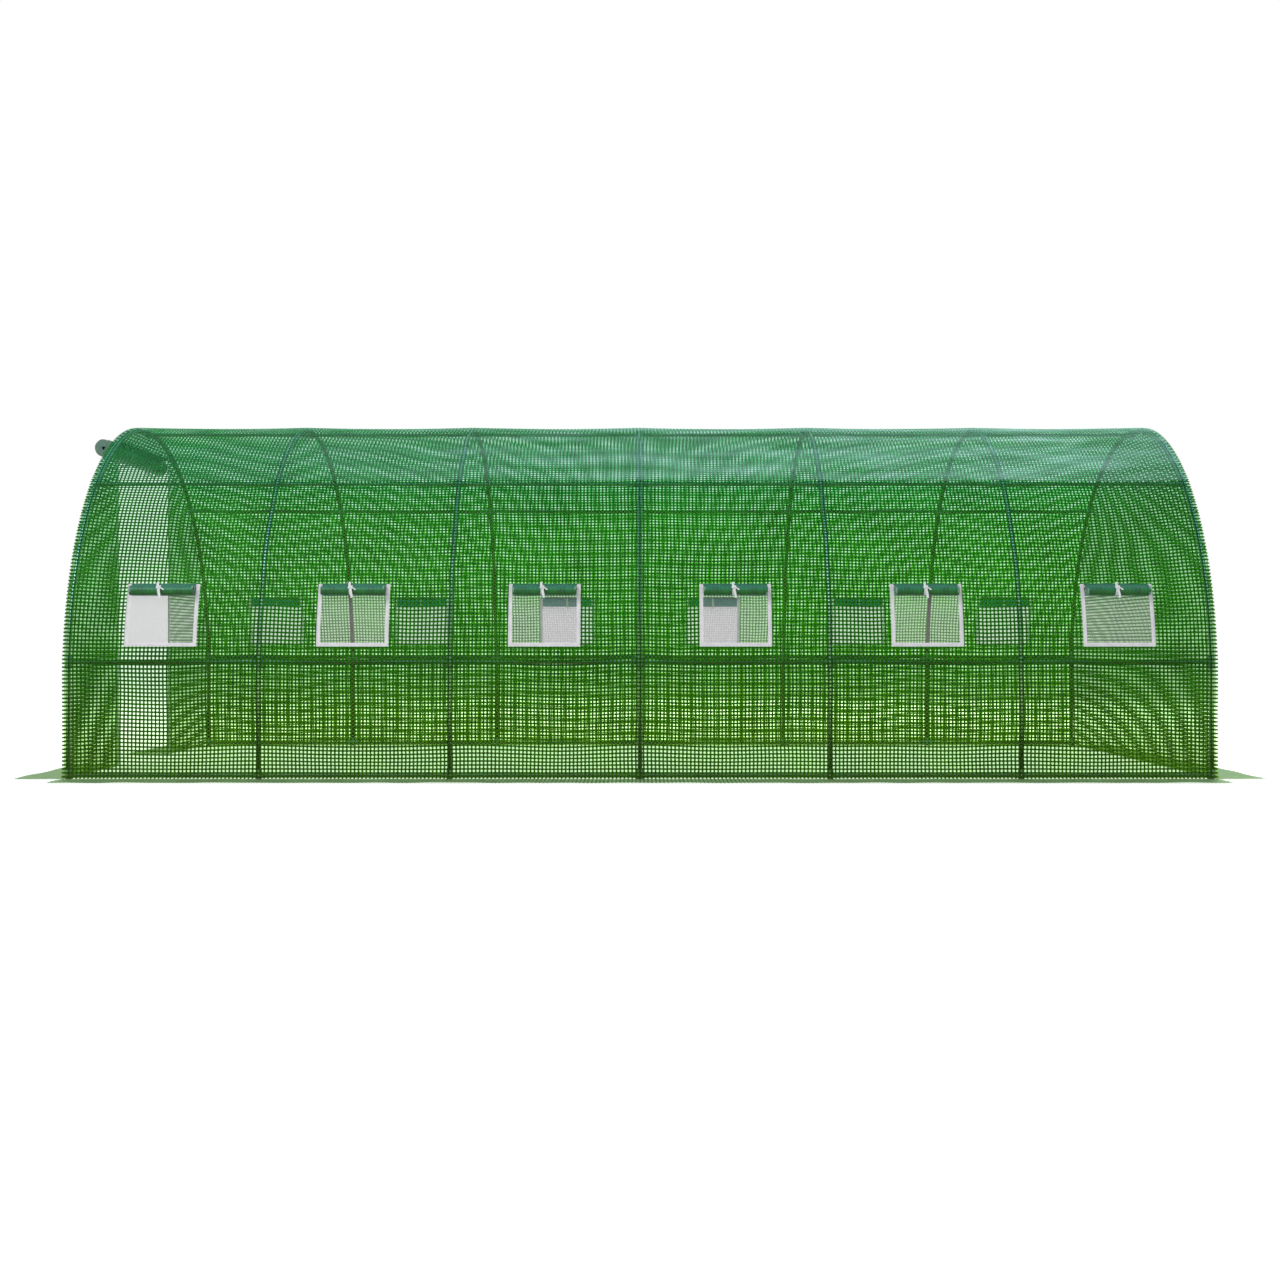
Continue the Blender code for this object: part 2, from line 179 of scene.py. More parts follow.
def add_node(tree, kind, inputs=None, output=0, **settings):
    """One output of a new shader node with these settings, its inputs given values or linked to sockets."""
    made = tree.nodes.new("ShaderNode" + kind)
    for key, value in settings.items():
        setattr(made, key, value)
    for key, value in (inputs or {}).items():
        if isinstance(value, bpy.types.NodeSocket):
            tree.links.new(value, made.inputs[key])
        else:
            made.inputs[key].default_value = value
    return made.outputs[output] if made.outputs else None


def new_material(name, surface, *details):
    """A node material whose surface is what surface() gives for these details."""
    made = bpy.data.materials.new(name)
    made.use_nodes = True
    tree = made.node_tree
    tree.nodes.clear()
    add_node(tree, "OutputMaterial", {"Surface": surface(tree, *details)})
    return made


def mixed(tree, share, first, second):
    """The first shader with this share of the second."""
    return add_node(tree, "MixShader", {0: share, 1: first, 2: second})


def translucent(tree, colour):
    """Light that glows through in this colour."""
    return add_node(tree, "BsdfTranslucent", {"Color": colour})


def object_place(tree):
    """The place on the piece, in metres."""
    return add_node(tree, "TexCoord", output="Object")


def cloth_place(tree):
    """The piece's own cloth map, in metres."""
    return add_node(tree, "UVMap", uv_map="cloth")


def part_of(tree, source, axis):
    """The X, Y or Z of a vector."""
    return add_node(tree, "SeparateXYZ", {0: source}, axis)


def noise(tree, place, scale, detail):
    """Cloudy noise from 0 to 1."""
    return add_node(tree, "TexNoise", {"Vector": place, "Scale": scale, "Detail": detail}, "Fac")


def remap(tree, source, low, high, start=0.0, end=1.0):
    """The source's range from low to high, as start to end."""
    return add_node(tree, "MapRange", {0: source, 1: low, 2: high, 3: start, 4: end})


def maths(tree, operation, *terms):
    """One sum on these terms, each a number or a socket."""
    return add_node(tree, "Math", dict(enumerate(terms)), operation=operation)


def tint(tree, first, second):
    """Two colours multiplied."""
    inputs = {0: 1.0, 6: first, 7: second}
    return add_node(tree, "Mix", inputs, 2, data_type="RGBA", blend_type="MULTIPLY")


def bump(tree, height, strength, distance):
    """A normal that follows the height."""
    return add_node(tree, "Bump", {"Height": height, "Strength": strength, "Distance": distance})


def upward(tree, low, high):
    """How far a face looks up: 0 where its normal's Z is low and 1 where it is high."""
    normal = add_node(tree, "NewGeometry", output="Normal")
    return remap(tree, part_of(tree, normal, "Z"), low, high)


def grid_lines(tree, place, pitch, width):
    """1 on lines this wide at the pitch along U and along V, else 0."""
    made = []
    for axis in "XY":
        part = maths(tree, "FRACT", maths(tree, "DIVIDE", part_of(tree, place, axis), pitch))
        made.append(maths(tree, "LESS_THAN", part, width / pitch))
    return maths(tree, "MAXIMUM", *made)


def ramp(tree, source, places, codes):
    """A colour ramp with these hex colours, or grey levels, at these places."""
    made = add_node(tree, "ValToRGB", {"Fac": source}, "Color")
    bar = made.node.color_ramp.elements
    while len(bar) < len(places):
        bar.new(0.5)
    for stop, place, code in zip(bar, places, codes):
        stop.position = place
        stop.color = linear(code) if isinstance(code, str) else (code, code, code, 1.0)
    return made


def woven_tape(tree):
    """Drawn polyethylene tape, dyed green, laminated in film.

    Light glows through it, yellower than its face, so the side away from the light looks yellow-green. It is
    bluer near the ridge and yellower low down, as painted light from the sky above and from the ground.
    """
    place = object_place(tree)
    height = remap(tree, part_of(tree, place, "Z"), 0.10, 2.0)
    # the ramps by height are painted light: bluer up high for the sky, yellower low down for light off the
    # ground
    face = ("264A00", "104804", "0E500A", "0A5010", "0C5834")
    face = ramp(tree, height, (0.0, 0.24, 0.48, 0.74, 0.86), face)
    glow = ("84A004", "609A0E", "60AC1C", "5AB030", "4CB060")
    glow = ramp(tree, height, (0.0, 0.24, 0.46, 0.74, 0.86), glow)
    # patches of about 250 mm and single tapes of about 20 mm differ in how deep their green is
    shade = maths(tree, "MULTIPLY_ADD", noise(tree, place, 4.0, 3.0), 0.9, 0.55)
    shade = maths(tree, "MULTIPLY_ADD", noise(tree, place, 45.0, 1.0), 0.5, shade)
    shade = maths(tree, "SUBTRACT", shade, 0.25)
    body = add_node(tree, "BsdfPrincipled", {
        "Base Color": tint(tree, face, shade), "Roughness": 0.5, "IOR": 1.45, "Specular IOR Level": 0.12,
    })
    return mixed(tree, 0.5, body, translucent(tree, tint(tree, glow, shade)))


def clear_film(tree, veil, milk, outer, inner, streaks=False):
    """Blown polyethylene film, 0.1 mm, faintly milky and slightly creased, tinted yellower near the ground
    and bluer up high as painted light from the ground and the sky.

    Seen from the side its outer face shines and its inner face looks hazy. outer and inner are the colour,
    and how strong it is at each facing. The outer shine's blue-white is a painted reflection of the sky, and
    the inner haze's khaki a painted reflection of the ground. With streaks the shine is drawn out along the
    tunnel in patches, painted glints off its creases, and grows to the right, short of the end, as painted
    light from a sky brighter on that side.
    """
    place = object_place(tree)
    # soft puckers 60 mm across, half a millimetre deep
    puckers = bump(tree, noise(tree, place, 16.0, 2.0), 0.30, 0.004)
    facing = add_node(tree, "LayerWeight", {"Blend": 0.5, "Normal": puckers}, "Facing")
    shine = ramp(tree, facing, *outer[1:])
    if streaks:
        # the patches are painted glints off the film's creases
        stretch = {"Scale": (1.3, 7.0, 7.0), "Vector": place}
        drawn = add_node(tree, "Mapping", stretch, vector_type="POINT")
        drawn = remap(tree, noise(tree, drawn, 1.6, 3.0), 0.36, 0.66, 0.45, 1.45)
        # the shine growing to the right is painted light from a sky brighter on that side
        along = remap(tree, part_of(tree, place, "X"), -2.6, 3.0)
        along = ramp(tree, along, (0.0, 0.54, 0.90, 1.0), (0.05, 1.0, 1.0, 0.5))
        shine = maths(tree, "MULTIPLY", maths(tree, "MULTIPLY", shine, drawn), along)
    # the see-through tint is painted light: yellower near the ground, bluer up high
    height = remap(tree, part_of(tree, place, "Z"), 0.0, 2.0)
    sky_and_ground_tint = ramp(tree, height, (0.04, 0.50, 0.90), ("E6FFD2", "E0FFE2", "DCFFEE"))
    clear = add_node(tree, "BsdfTransparent", {"Color": sky_and_ground_tint})
    cloud = add_node(tree, "BsdfDiffuse", {"Color": linear(milk)})
    body = mixed(tree, veil, clear, cloud)
    gloss = {"Color": linear(outer[0]), "Roughness": 0.45, "Normal": puckers}
    shiny = mixed(tree, shine, body, add_node(tree, "BsdfGlossy", gloss))
    hazy = mixed(tree, ramp(tree, facing, *inner[1:]), body, translucent(tree, linear(inner[0])))
    return mixed(tree, add_node(tree, "NewGeometry", output="Backfacing"), shiny, hazy)


def steel(tree, front, rear):
    """Galvanised steel tube with a passivated satin coat, and a faint cloudy spangle about 8 mm across.

    front and rear are the colours where it faces down, sideways, half up and up, on the tunnel's front half
    and on its rear half. Their change with the way it faces is a painted reflection, brown ground below and
    blue sky above, and the rear half is painted darker and browner as shade.
    """
    place = object_place(tree)
    spangle = add_node(tree, "TexVoronoi", {"Scale": 120.0, "Vector": place}, "Color")
    grey = add_node(tree, "SeparateColor", {0: spangle})
    # which way the face looks picks a painted reflection: brown ground below, blue sky above
    up = upward(tree, -1.0, 1.0)
    front, rear = (ramp(tree, up, (0.2, 0.5, 0.78, 0.97), codes) for codes in (front, rear))
    # the rear half is painted darker and browner as shade
    across = remap(tree, part_of(tree, place, "Y"), -0.35, 0.35)
    coat = add_node(tree, "Mix", {0: across, 6: front, 7: rear}, 2, data_type="RGBA")
    return add_node(tree, "BsdfPrincipled", {
        "Base Color": tint(tree, coat, ramp(tree, grey, (0.0, 1.0), ("E0E0E0", "FFFFFF"))),
        "Metallic": 0.8, "Roughness": remap(tree, grey, 0.0, 1.0, 0.34, 0.48),
    })


def moulded(tree):
    """Injection-moulded polypropylene, grey, with a fine matt grain of about 1 mm. Its top is painted blue
    as a reflection of the sky and its underside painted darker as shade.
    """
    place = object_place(tree)
    # painted reflection of the sky on top and painted shade underneath
    painted_sky_and_shade = ramp(tree, upward(tree, -0.6, 0.6), (0.0, 0.5, 1.0), ("5C5C46", "8E9284", "94B4DC"))
    cloud = ramp(tree, noise(tree, place, 30.0, 2.0), (0.3, 0.7), ("E4E4E4", "FFFFFF"))
    return add_node(tree, "BsdfPrincipled", {
        "Base Color": tint(tree, painted_sky_and_shade, cloud), "Roughness": 0.55, "IOR": 1.49,
        "Normal": bump(tree, noise(tree, place, 900.0, 1.0), 0.3, 0.0003),
    })


def insect_net(tree):
    """Knitted polyethylene insect net, off-white, about half open.

    The photograph is too coarse to count its threads, so they are drawn 1 mm thick every 4 mm.
    """
    thread = {"Base Color": linear("A69EA6"), "Roughness": 0.8}
    thread = add_node(tree, "BsdfPrincipled", thread)
    thread = mixed(tree, 0.5, thread, translucent(tree, linear("A498A2")))
    gap = add_node(tree, "BsdfTransparent")
    return mixed(tree, grid_lines(tree, cloth_place(tree), 0.004, 0.00103), gap, thread)


def binding(tree, light, dark, pitch, passes):
    """Woven polyester binding: ribs across it at the pitch, and this share of the light goes through."""
    place = cloth_place(tree)
    ribs = {"Scale": 0.31 / pitch, "Distortion": 0.4, "Vector": place}
    ribs = add_node(tree, "TexWave", ribs, "Fac", wave_type="BANDS", bands_direction="DIAGONAL")
    tone = maths(tree, "MULTIPLY_ADD", ribs, 0.5, noise(tree, place, 18.0, 2.0))
    colour = ramp(tree, tone, (0.35, 1.0), (dark, light))
    body = add_node(tree, "BsdfPrincipled", {
        "Base Color": colour, "Roughness": 0.78, "Sheen Weight": 0.15,
        "Normal": bump(tree, ribs, 0.5, 0.0006),
    })
    return mixed(tree, passes, body, translucent(tree, colour))


def rolled_film(tree, under, side, top):
    """The cover's film rolled up in several layers: the woven grid over a deeper green, with a glossy skin.

    Its upper side is painted teal as a highlight from the sky and its underside painted darker as shade;
    under, side and top say how it looks from there.
    """
    place = cloth_place(tree)
    cloud = noise(tree, place, 22.0, 3.0)
    # painted highlight on top and painted shade underneath
    painted_highlight_and_shade = ramp(tree, upward(tree, -0.7, 0.9), (0.0, 0.45, 1.0), (under, side, top))
    marks = maths(tree, "MULTIPLY_ADD", grid_lines(tree, place, GRID_PITCH, TAPE_WIDTH), 0.30, cloud)
    marks = ramp(tree, marks, (0.3, 1.0), ("FFFFFF", "B0B0B0"))
    return add_node(tree, "BsdfPrincipled", {
        "Base Color": tint(tree, painted_highlight_and_shade, marks), "Roughness": 0.46, "IOR": 1.40,
        "Coat Weight": 0.06, "Coat Roughness": 0.25, "Normal": bump(tree, cloud, 0.6, 0.003),
    })


def zinc(tree):
    """Die-cast zinc with a bright nickel plate, worn duller in small patches."""
    wear = noise(tree, object_place(tree), 400.0, 3.0)
    return add_node(tree, "BsdfPrincipled", {
        "Base Color": ramp(tree, wear, (0.3, 0.7), ("B5B7B8", "D6D8D8")), "Metallic": 1.0,
        "Roughness": remap(tree, wear, 0.0, 1.0, 0.22, 0.45),
    })


def seen_ray(tree):
    """1 on a ray that the camera or a gloss sees, else 0, and the rays' other kinds."""
    ray = add_node(tree, "LightPath").node.outputs
    return maths(tree, "MAXIMUM", ray["Is Camera Ray"], ray["Is Glossy Ray"]), ray


def white_floor(tree):
    """A plain white painted floor. What the camera sees of it is lifted to white and keeps its shadows."""
    glow = {"Color": (1, 1, 1, 1), "Strength": maths(tree, "MULTIPLY", seen_ray(tree)[0], 0.52)}
    plain = add_node(tree, "BsdfDiffuse", {"Color": linear("E6E6E6")})
    return add_node(tree, "AddShader", {0: plain, 1: add_node(tree, "Emission", glow)})


GREEN_TAPE = new_material("drawn_green_tape", woven_tape)
# the films' blue-white shine colours are a painted reflection of the sky, and the khaki of their inner haze
# a painted reflection of the ground
WALL_FILM = new_material(
    "blown_wall_film", clear_film, 0.010, "C4D8D6",
    ("B4D4F0", (0.6, 1.0), (0.0, 0.20)), ("C8C088", (0.6, 1.0), (0.0, 0.15)),
)
ROOF_FILM = new_material(
    "blown_roof_film", clear_film, 0.010, "C4D8D6",
    (
        "C4EEF4", (0.36, 0.43, 0.58, 0.66, 0.69, 0.72, 0.75, 0.80, 0.88),
        (0.0, 0.14, 0.16, 0.08, 0.11, 0.20, 0.09, 0.06, 0.23),
    ),
    ("E4DCB0", (0.62, 0.68, 0.76, 0.82), (0.0, 0.16, 0.18, 0.04)), True,
)
FLAP_SHEEN = ("9CBC94", (0.55, 0.93), (0.0, 0.58))
FLAP_FILM = new_material("dusty_flap_film", clear_film, 0.03, "B4C8A4", FLAP_SHEEN, FLAP_SHEEN)
# the tubes' colours are painted reflection and painted shade, by which way they face and which half they are
# on
HOOP_STEEL = new_material(
    "galvanised_steel_hoop_tube", steel,
    ("6A6654", "C0B8AC", "9CBCFA", "DCF0FF"), ("402C0A", "5E441A", "5E6874", "6E8C9A"),
)
RAIL_STEEL = new_material(
    "galvanised_steel_rail_tube", steel,
    ("6C420C", "66664E", "92A8D0", "A0BCE8"), ("40300A", "3E4A2E", "34566A", "34626A"),
)
MOULDED = new_material("moulded_polypropylene", moulded)
NET = new_material("knitted_insect_net", insect_net)
WHITE_BINDING = new_material("white_woven_binding", binding, "F8F2F6", "E2DCE0", 0.003, 0.30)
ZIP_TAPE = new_material("white_zip_tape", binding, "F4F4F2", "DCDCD8", 0.002, 0.50)
TIE_CORD = new_material("white_braided_cord", binding, "FAFAFA", "E0E0E0", 0.004, 0.25)
GREEN_BINDING = new_material("green_woven_binding", binding, "A8CCB8", "6E9A84", 0.003, 0.35)
ROLLED_FILM = new_material("rolled_woven_film", rolled_film, "0E640A", "167630", "22826A")
# the door's roll is a lighter copy of the rolled film, painted lighter to make up for the shade it is seen
# in
ROLLED_DOOR = new_material("rolled_door_film", rolled_film, "106A18", "187E42", "28927A")
FLAP_LINING = new_material("flap_lining_film", rolled_film, "04A09A", "04A0A0", "0AA09A")
ZINC = new_material("nickel_plated_zinc", zinc)
FLOOR = new_material("white_painted_floor", white_floor)


def to_mesh(shape):
    """The bmesh as a mesh."""
    mesh = bpy.data.meshes.new("mesh")
    shape.to_mesh(mesh)
    shape.free()
    return mesh


def add_object(name, data):
    """An object in the scene."""
    made = bpy.data.objects.new(name, data)
    bpy.context.scene.collection.objects.link(made)
    return made


def add_piece(name, mesh, material, smooth=True):
    """A mesh, or a bmesh, as an object in the scene."""
    if isinstance(mesh, bmesh.types.BMesh):
        mesh = to_mesh(mesh)
    mesh.materials.append(material)
    mesh.polygons.foreach_set("use_smooth", [smooth] * len(mesh.polygons))
    return add_object(name, mesh)


def carry(pieces, body):
    """Each piece rides on the body."""
    for piece in pieces:
        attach(piece, body)


def join(meshes):
    """Several meshes as one, with their cloth maps."""
    shape = bmesh.new()
    for each in meshes:
        shape.from_mesh(each)
        bpy.data.meshes.remove(each)
    return to_mesh(shape)


def read_points(mesh):
    """Every point of the mesh."""
    points = np.zeros(len(mesh.vertices) * 3)
    mesh.vertices.foreach_get("co", points)
    return points.reshape(-1, 3)


def lay_cloth_map(mesh, flat):
    """Gives the mesh a cloth map from each point's flat place, in metres."""
    corners = np.zeros(len(mesh.loops), int)
    mesh.loops.foreach_get("vertex_index", corners)
    mesh.uv_layers.new(name="cloth").data.foreach_set("uv", flat[corners].ravel())


def bent_grid(across, along, place, kept=None, cloth_length=1.0):
    """A flat grid with points at every (across, along), less the cells not kept, then bent by place().

    place takes arrays of across and along, and gives points. The flat places are kept as the cloth map, with
    along in units of cloth_length.
    """
    columns = len(across) - 1
    rows = len(along) - 1
    flat = bmesh.new()
    bmesh.ops.create_grid(flat, x_segments=columns, y_segments=rows, size=0.5)
    if kept is not None:
        gaps = []
        for face in flat.faces:
            middle = face.calc_center_bounds()
            if not kept[int((middle.x + 0.5) * columns), int((middle.y + 0.5) * rows)]:
                gaps.append(face)
        bmesh.ops.delete(flat, geom=gaps, context="FACES")
    mesh = to_mesh(flat)
    points = read_points(mesh)
    u = np.array(across)[np.rint((points[:, 0] + 0.5) * columns).astype(int)]
    v = np.array(along)[np.rint((points[:, 1] + 0.5) * rows).astype(int)]
    mesh.vertices.foreach_set("co", place(u, v).ravel())
    lay_cloth_map(mesh, np.stack([u, v * cloth_length], 1))
    mesh.update()
    return mesh


def add_grid(name, material, *grid):
    """A bent grid as an object in the scene."""
    return add_piece(name, bent_grid(*grid), material)


def middles(lines):
    """The middle of each cell between the lines."""
    lines = np.array(lines)
    return (lines[1:] + lines[:-1]) / 2


def all_cells(across, along):
    """Every cell of a grid, kept."""
    return np.ones((len(across) - 1, len(along) - 1), bool)


def tape_edges(start, end):
    """Both edges of each tape from start to end, and which cells between them are tape."""
    count = int((end - start - TAPE_WIDTH) / GRID_PITCH) + 1
    spare = (end - start - TAPE_WIDTH - (count - 1) * GRID_PITCH) / 2
    edges = []
    for index in range(count):
        low = start + spare + index * GRID_PITCH
        edges += [low, low + TAPE_WIDTH]
    return edges, np.arange(len(edges) - 1) % 2 == 0


def gentle_waves(count, longest, seed):
    """Seeded (x rate, s rate, phase, share) of soft waves in the film."""
    dice = random.Random(seed)
    made = []
    for _ in range(count):
        length = longest * dice.uniform(0.35, 1.0)
        turn = dice.uniform(0, 2 * math.pi)
        rate = 2 * math.pi / length
        phase = dice.uniform(0, 6.28)
        made.append((rate * math.cos(turn), rate * math.sin(turn), phase, dice.uniform(0.4, 1)))
    return made


def wave_height(waves, a, b):
    """The waves' height at (a, b), from about -1 to 1."""
    total = sum(share for *_, share in waves)
    return sum(share * np.sin(p * a + q * b + phase) for p, q, phase, share in waves) / total * 1.6


FILM_WAVES = gentle_waves(9, longest=1.1, seed=3)
FOOT_WAVES = gentle_waves(5, longest=0.6, seed=11)
END_WAVES = gentle_waves(8, longest=0.9, seed=21)
GRID_DRIFT_X = gentle_waves(9, longest=1.0, seed=41)
GRID_DRIFT_S = gentle_waves(9, longest=1.0, seed=42)


def arch_point(radius, angle):
    """The (y, z) at this radius and angle, from the front foot of the arch over to the rear."""
    turn = math.radians(angle)
    return -radius * math.cos(turn), LEG_HEIGHT + radius * math.sin(turn)


def near(distance, width, power=2):
    """1 at no distance, and softly down to 0 past the width."""
    return np.exp(-((distance / width) ** power))


def foot_flare(height):
    """1 at the ground and 0 above the flare, where the film turns out into the ground flap."""
    return np.clip(1 - height / FLARE_HEIGHT, 0, 1) ** 2


def cover_radius(x, s):
    """How far the film stands from the arch's centre line.

    It rests on the hoops' tubes, is pushed out by the connectors, lies on the rails between the hoops, and
    sags a little in each bay.
    """
    from_hoop = np.abs(x - np.rint(np.clip(x, -HALF_LENGTH, HALF_LENGTH)))
    from_middle = 0.5 - from_hoop
    at_hoop = (2 * from_middle) ** 2
    angle = np.degrees((s - LEG_HEIGHT) / SKIN_RADIUS)
    ground = GROUND_RAIL_HEIGHT
    rail = np.maximum(near(s - ground, RAIL_REACH), near(ROUND_LENGTH - s - ground, RAIL_REACH))
    for each in RAIL_ANGLES:
        rail = np.maximum(rail, near((angle - each) * math.radians(1) * SKIN_RADIUS, RAIL_REACH))
    resting = SAGGED_RADIUS + RAIL_RISE * rail
    radius = resting + (SKIN_RADIUS - resting) * at_hoop
    radius += CONNECTOR_RISE * rail * near(from_hoop, 0.06)
    radius += RIDGE_RISE * near(angle - 90, 24)
    # the bound windows stand out and are stiffer than the film round them
    window = np.maximum(near(angle - 14.1, 8.5, 4), near(angle - 165.9, 8.5, 4)) * near(from_middle, 0.26, 4)
    radius += WINDOW_RISE * window
    loose = (1 - at_hoop) * (1 - 0.8 * window) * (1 - 0.7 * rail)
    radius += BAY_WAVE * loose * wave_height(FILM_WAVES, x, s)
    from_foot = np.minimum(s, ROUND_LENGTH - s)
    low = np.clip(1 - from_foot / 0.30, 0, 1)
    radius += FOOT_WAVE * low * loose * wave_height(FOOT_WAVES, x * 2.0, s * 0.3)
    radius += foot_flare(from_foot) * (FOOT_RADIUS - radius)
    return radius


def cover_point(x, s, lift=0.0):
    """Points of the film at x along the tunnel and s metres up and over the section from its front foot."""
    radius = cover_radius(x, s) + lift
    turn = np.clip((s - LEG_HEIGHT) / SKIN_RADIUS, 0, math.pi)
    from_foot = np.minimum(s, ROUND_LENGTH - s)
    on_leg = np.maximum(from_foot, LOWEST_FILM)
    z = np.where(from_foot < LEG_HEIGHT, on_leg, LEG_HEIGHT + radius * np.sin(turn))
    return np.stack([x, -radius * np.cos(turn), z], 1)


def film_lines():
    """The film's own lines along X and round the section, close together where it bends."""
    lines = {-COVER_HALF_LENGTH, COVER_HALF_LENGTH}
    for hoop in range(-3, 4):
        for step in (-0.10, -0.045, -0.014, 0.0, 0.014, 0.045, 0.10):
            if abs(hoop + step) < COVER_HALF_LENGTH - 0.004:
                lines.add(round(hoop + step, 5))
    for centre in WINDOW_CENTRES:
        for step in (-0.30, -HOLE_REACH, -0.09, 0.0, 0.09, HOLE_REACH, 0.30):
            lines.add(round(centre + step, 5))
    half = {0.0, 0.008, FLARE_HEIGHT, 0.06, 0.12, 0.20, 0.30, 0.40, LEG_HEIGHT, HOLE_LOW, HOLE_HIGH}
    for rail in RAIL_ANGLES[:3]:
        for step in (-1.8, -0.7, 0.0, 0.7, 1.8):
            if rail + step <= 90:
                half.add(up_cover(rail + step))
    for index in range(2, 60):
        place = up_cover(1.5 * index)
        if min(abs(place - each) for each in half) > 0.022:
            half.add(place)
    rounds = {round(each, 6) for each in half} | {round(ROUND_LENGTH - each, 6) for each in half}
    return np.array(sorted(lines)), np.array(sorted(rounds))


def skin_points(lift=0.0):
    """The film's point at every crossing of its lines."""
    x, s = np.meshgrid(FILM_X, FILM_S, indexing="ij")
    return cover_point(x.ravel(), s.ravel(), lift).reshape(len(FILM_X), len(FILM_S), 3)


FILM_X, FILM_S = film_lines()
SKIN = skin_points()
OUT = skin_points(0.01) - SKIN
OUT = OUT / np.maximum(np.linalg.norm(OUT, axis=2, keepdims=True), 1e-9)


def on_skin(x, s, lift=0.0):
    """Points on the film's own facets, so that tapes and hems lie on it everywhere."""
    i = np.clip(np.searchsorted(FILM_X, x, "right") - 1, 0, len(FILM_X) - 2)
    j = np.clip(np.searchsorted(FILM_S, s, "right") - 1, 0, len(FILM_S) - 2)
    a = ((x - FILM_X[i]) / (FILM_X[i + 1] - FILM_X[i]))[:, None]
    b = ((s - FILM_S[j]) / (FILM_S[j + 1] - FILM_S[j]))[:, None]
    made = 0
    for each, scale in ((SKIN, 1.0), (OUT, lift)):
        low = each[i, j] * (1 - a) + each[i + 1, j] * a
        high = each[i, j + 1] * (1 - a) + each[i + 1, j + 1] * a
        made = made + scale * (low * (1 - b) + high * b)
    return made


def wander(x, s, low, high):
    """How far the woven grid strays along X and round the section.

    It drifts a few millimetres, and sags between the hoops. It keeps to the film's edges and to the windows.
    """
    clear = np.minimum(COVER_HALF_LENGTH - np.abs(x), np.minimum(s - low, high - s))
    tall = (HOLE_HIGH - HOLE_LOW) / 2
    for centre in WINDOW_CENTRES:
        for middle in (HOLE_LOW + tall, ROUND_LENGTH - HOLE_LOW - tall):
            away = np.maximum(np.abs(x - centre) - HOLE_REACH, np.abs(s - middle) - tall)
            clear = np.minimum(clear, np.maximum(away, 0))
    free = np.clip(clear / 0.15, 0, 1)
    free = free * free * (3 - 2 * free)
    sag = GRID_SAG * np.sin(np.pi * x) ** 2 * np.cos(np.clip((s - LEG_HEIGHT) / SKIN_RADIUS, 0, np.pi))
    return (
        GRID_DRIFT * free * wave_height(GRID_DRIFT_X, x, s),
        free * (GRID_DRIFT * wave_height(GRID_DRIFT_S, x, s) - sag),
    )


def outside_windows(across, along):
    """Which cells of a grid are clear of the windows' holes."""
    x = middles(across)
    s = middles(along)
    beside = np.abs(x[:, None] - np.array(WINDOW_CENTRES)).min(1) < HOLE_REACH
    level = [(HOLE_LOW < each) & (each < HOLE_HIGH) for each in (s, ROUND_LENGTH - s)]
    return ~(beside[:, None] & (level[0] | level[1])[None, :])


def add_woven(name, material, slot, film, *tapes):
    """A film, which stands for the node of this name, and the woven grid of its tapes, as bent grids."""
    film = add_piece(name + "_film", film, material)
    grid = add_piece(name + "_grid", join(tapes), GREEN_TAPE)
    carry((film, grid), "greenhouse")
    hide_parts(name)
    return film, grid


def add_cover(name, low, high):
    """One of the long covers: clear film, and the woven grid on both of its faces."""
    rounds = np.array([s for s in FILM_S if low - 1e-5 <= s <= high + 1e-5])
    film = bent_grid(
        FILM_X, rounds, lambda x, s: on_skin(x, s, FILM_LIFT), outside_windows(FILM_X, rounds)
    )

    def woven(x, s, lift):
        along, around = wander(x, s, low, high)
        return on_skin(x + along, s + around, lift)

    # the tapes' cut ends stand out past the last hoop, where no tape crosses them
    hoopwise, is_tape = tape_edges(-COVER_HALF_LENGTH, COVER_HALF_LENGTH)
    is_tape[[0, -1]] = False
    past_film = FILM_X.copy()
    past_film[[0, -1]] += (-TAPE_OVERHANG, TAPE_OVERHANG)
    kept = outside_windows(hoopwise, rounds) & is_tape[:, None]
    inner = bent_grid(hoopwise, rounds, lambda x, s: woven(x, s, -TAPE_LIFT), kept)
    lengthwise, is_tape = tape_edges(low, high)
    kept = outside_windows(FILM_X, lengthwise) & is_tape[None, :]
    outer = bent_grid(past_film, lengthwise, lambda x, s: woven(x, s, TAPE_LIFT), kept)
    material = ROOF_FILM if name == "roof_cover" else WALL_FILM
    return add_woven(name, material, "cover_film", film, inner, outer)


def end_place(sign, y, z, lift=0.0):
    """Points of an end film at y and z, softly waved. sign is -1 at the door and 1 at the plain end."""
    inside = np.clip((END_EDGE - np.hypot(y, np.maximum(z - LEG_HEIGHT, 0))) / 0.25, 0, 1)
    foot = np.clip(z / 0.12, 0, 1)
    wave = END_WAVE * inside * foot * wave_height(END_WAVES, y, z)
    x = END_FILM_X + wave + lift + END_FLARE * foot_flare(z)
    return np.stack([sign * x, sign * y, np.maximum(z, LOWEST_FILM)], 1)


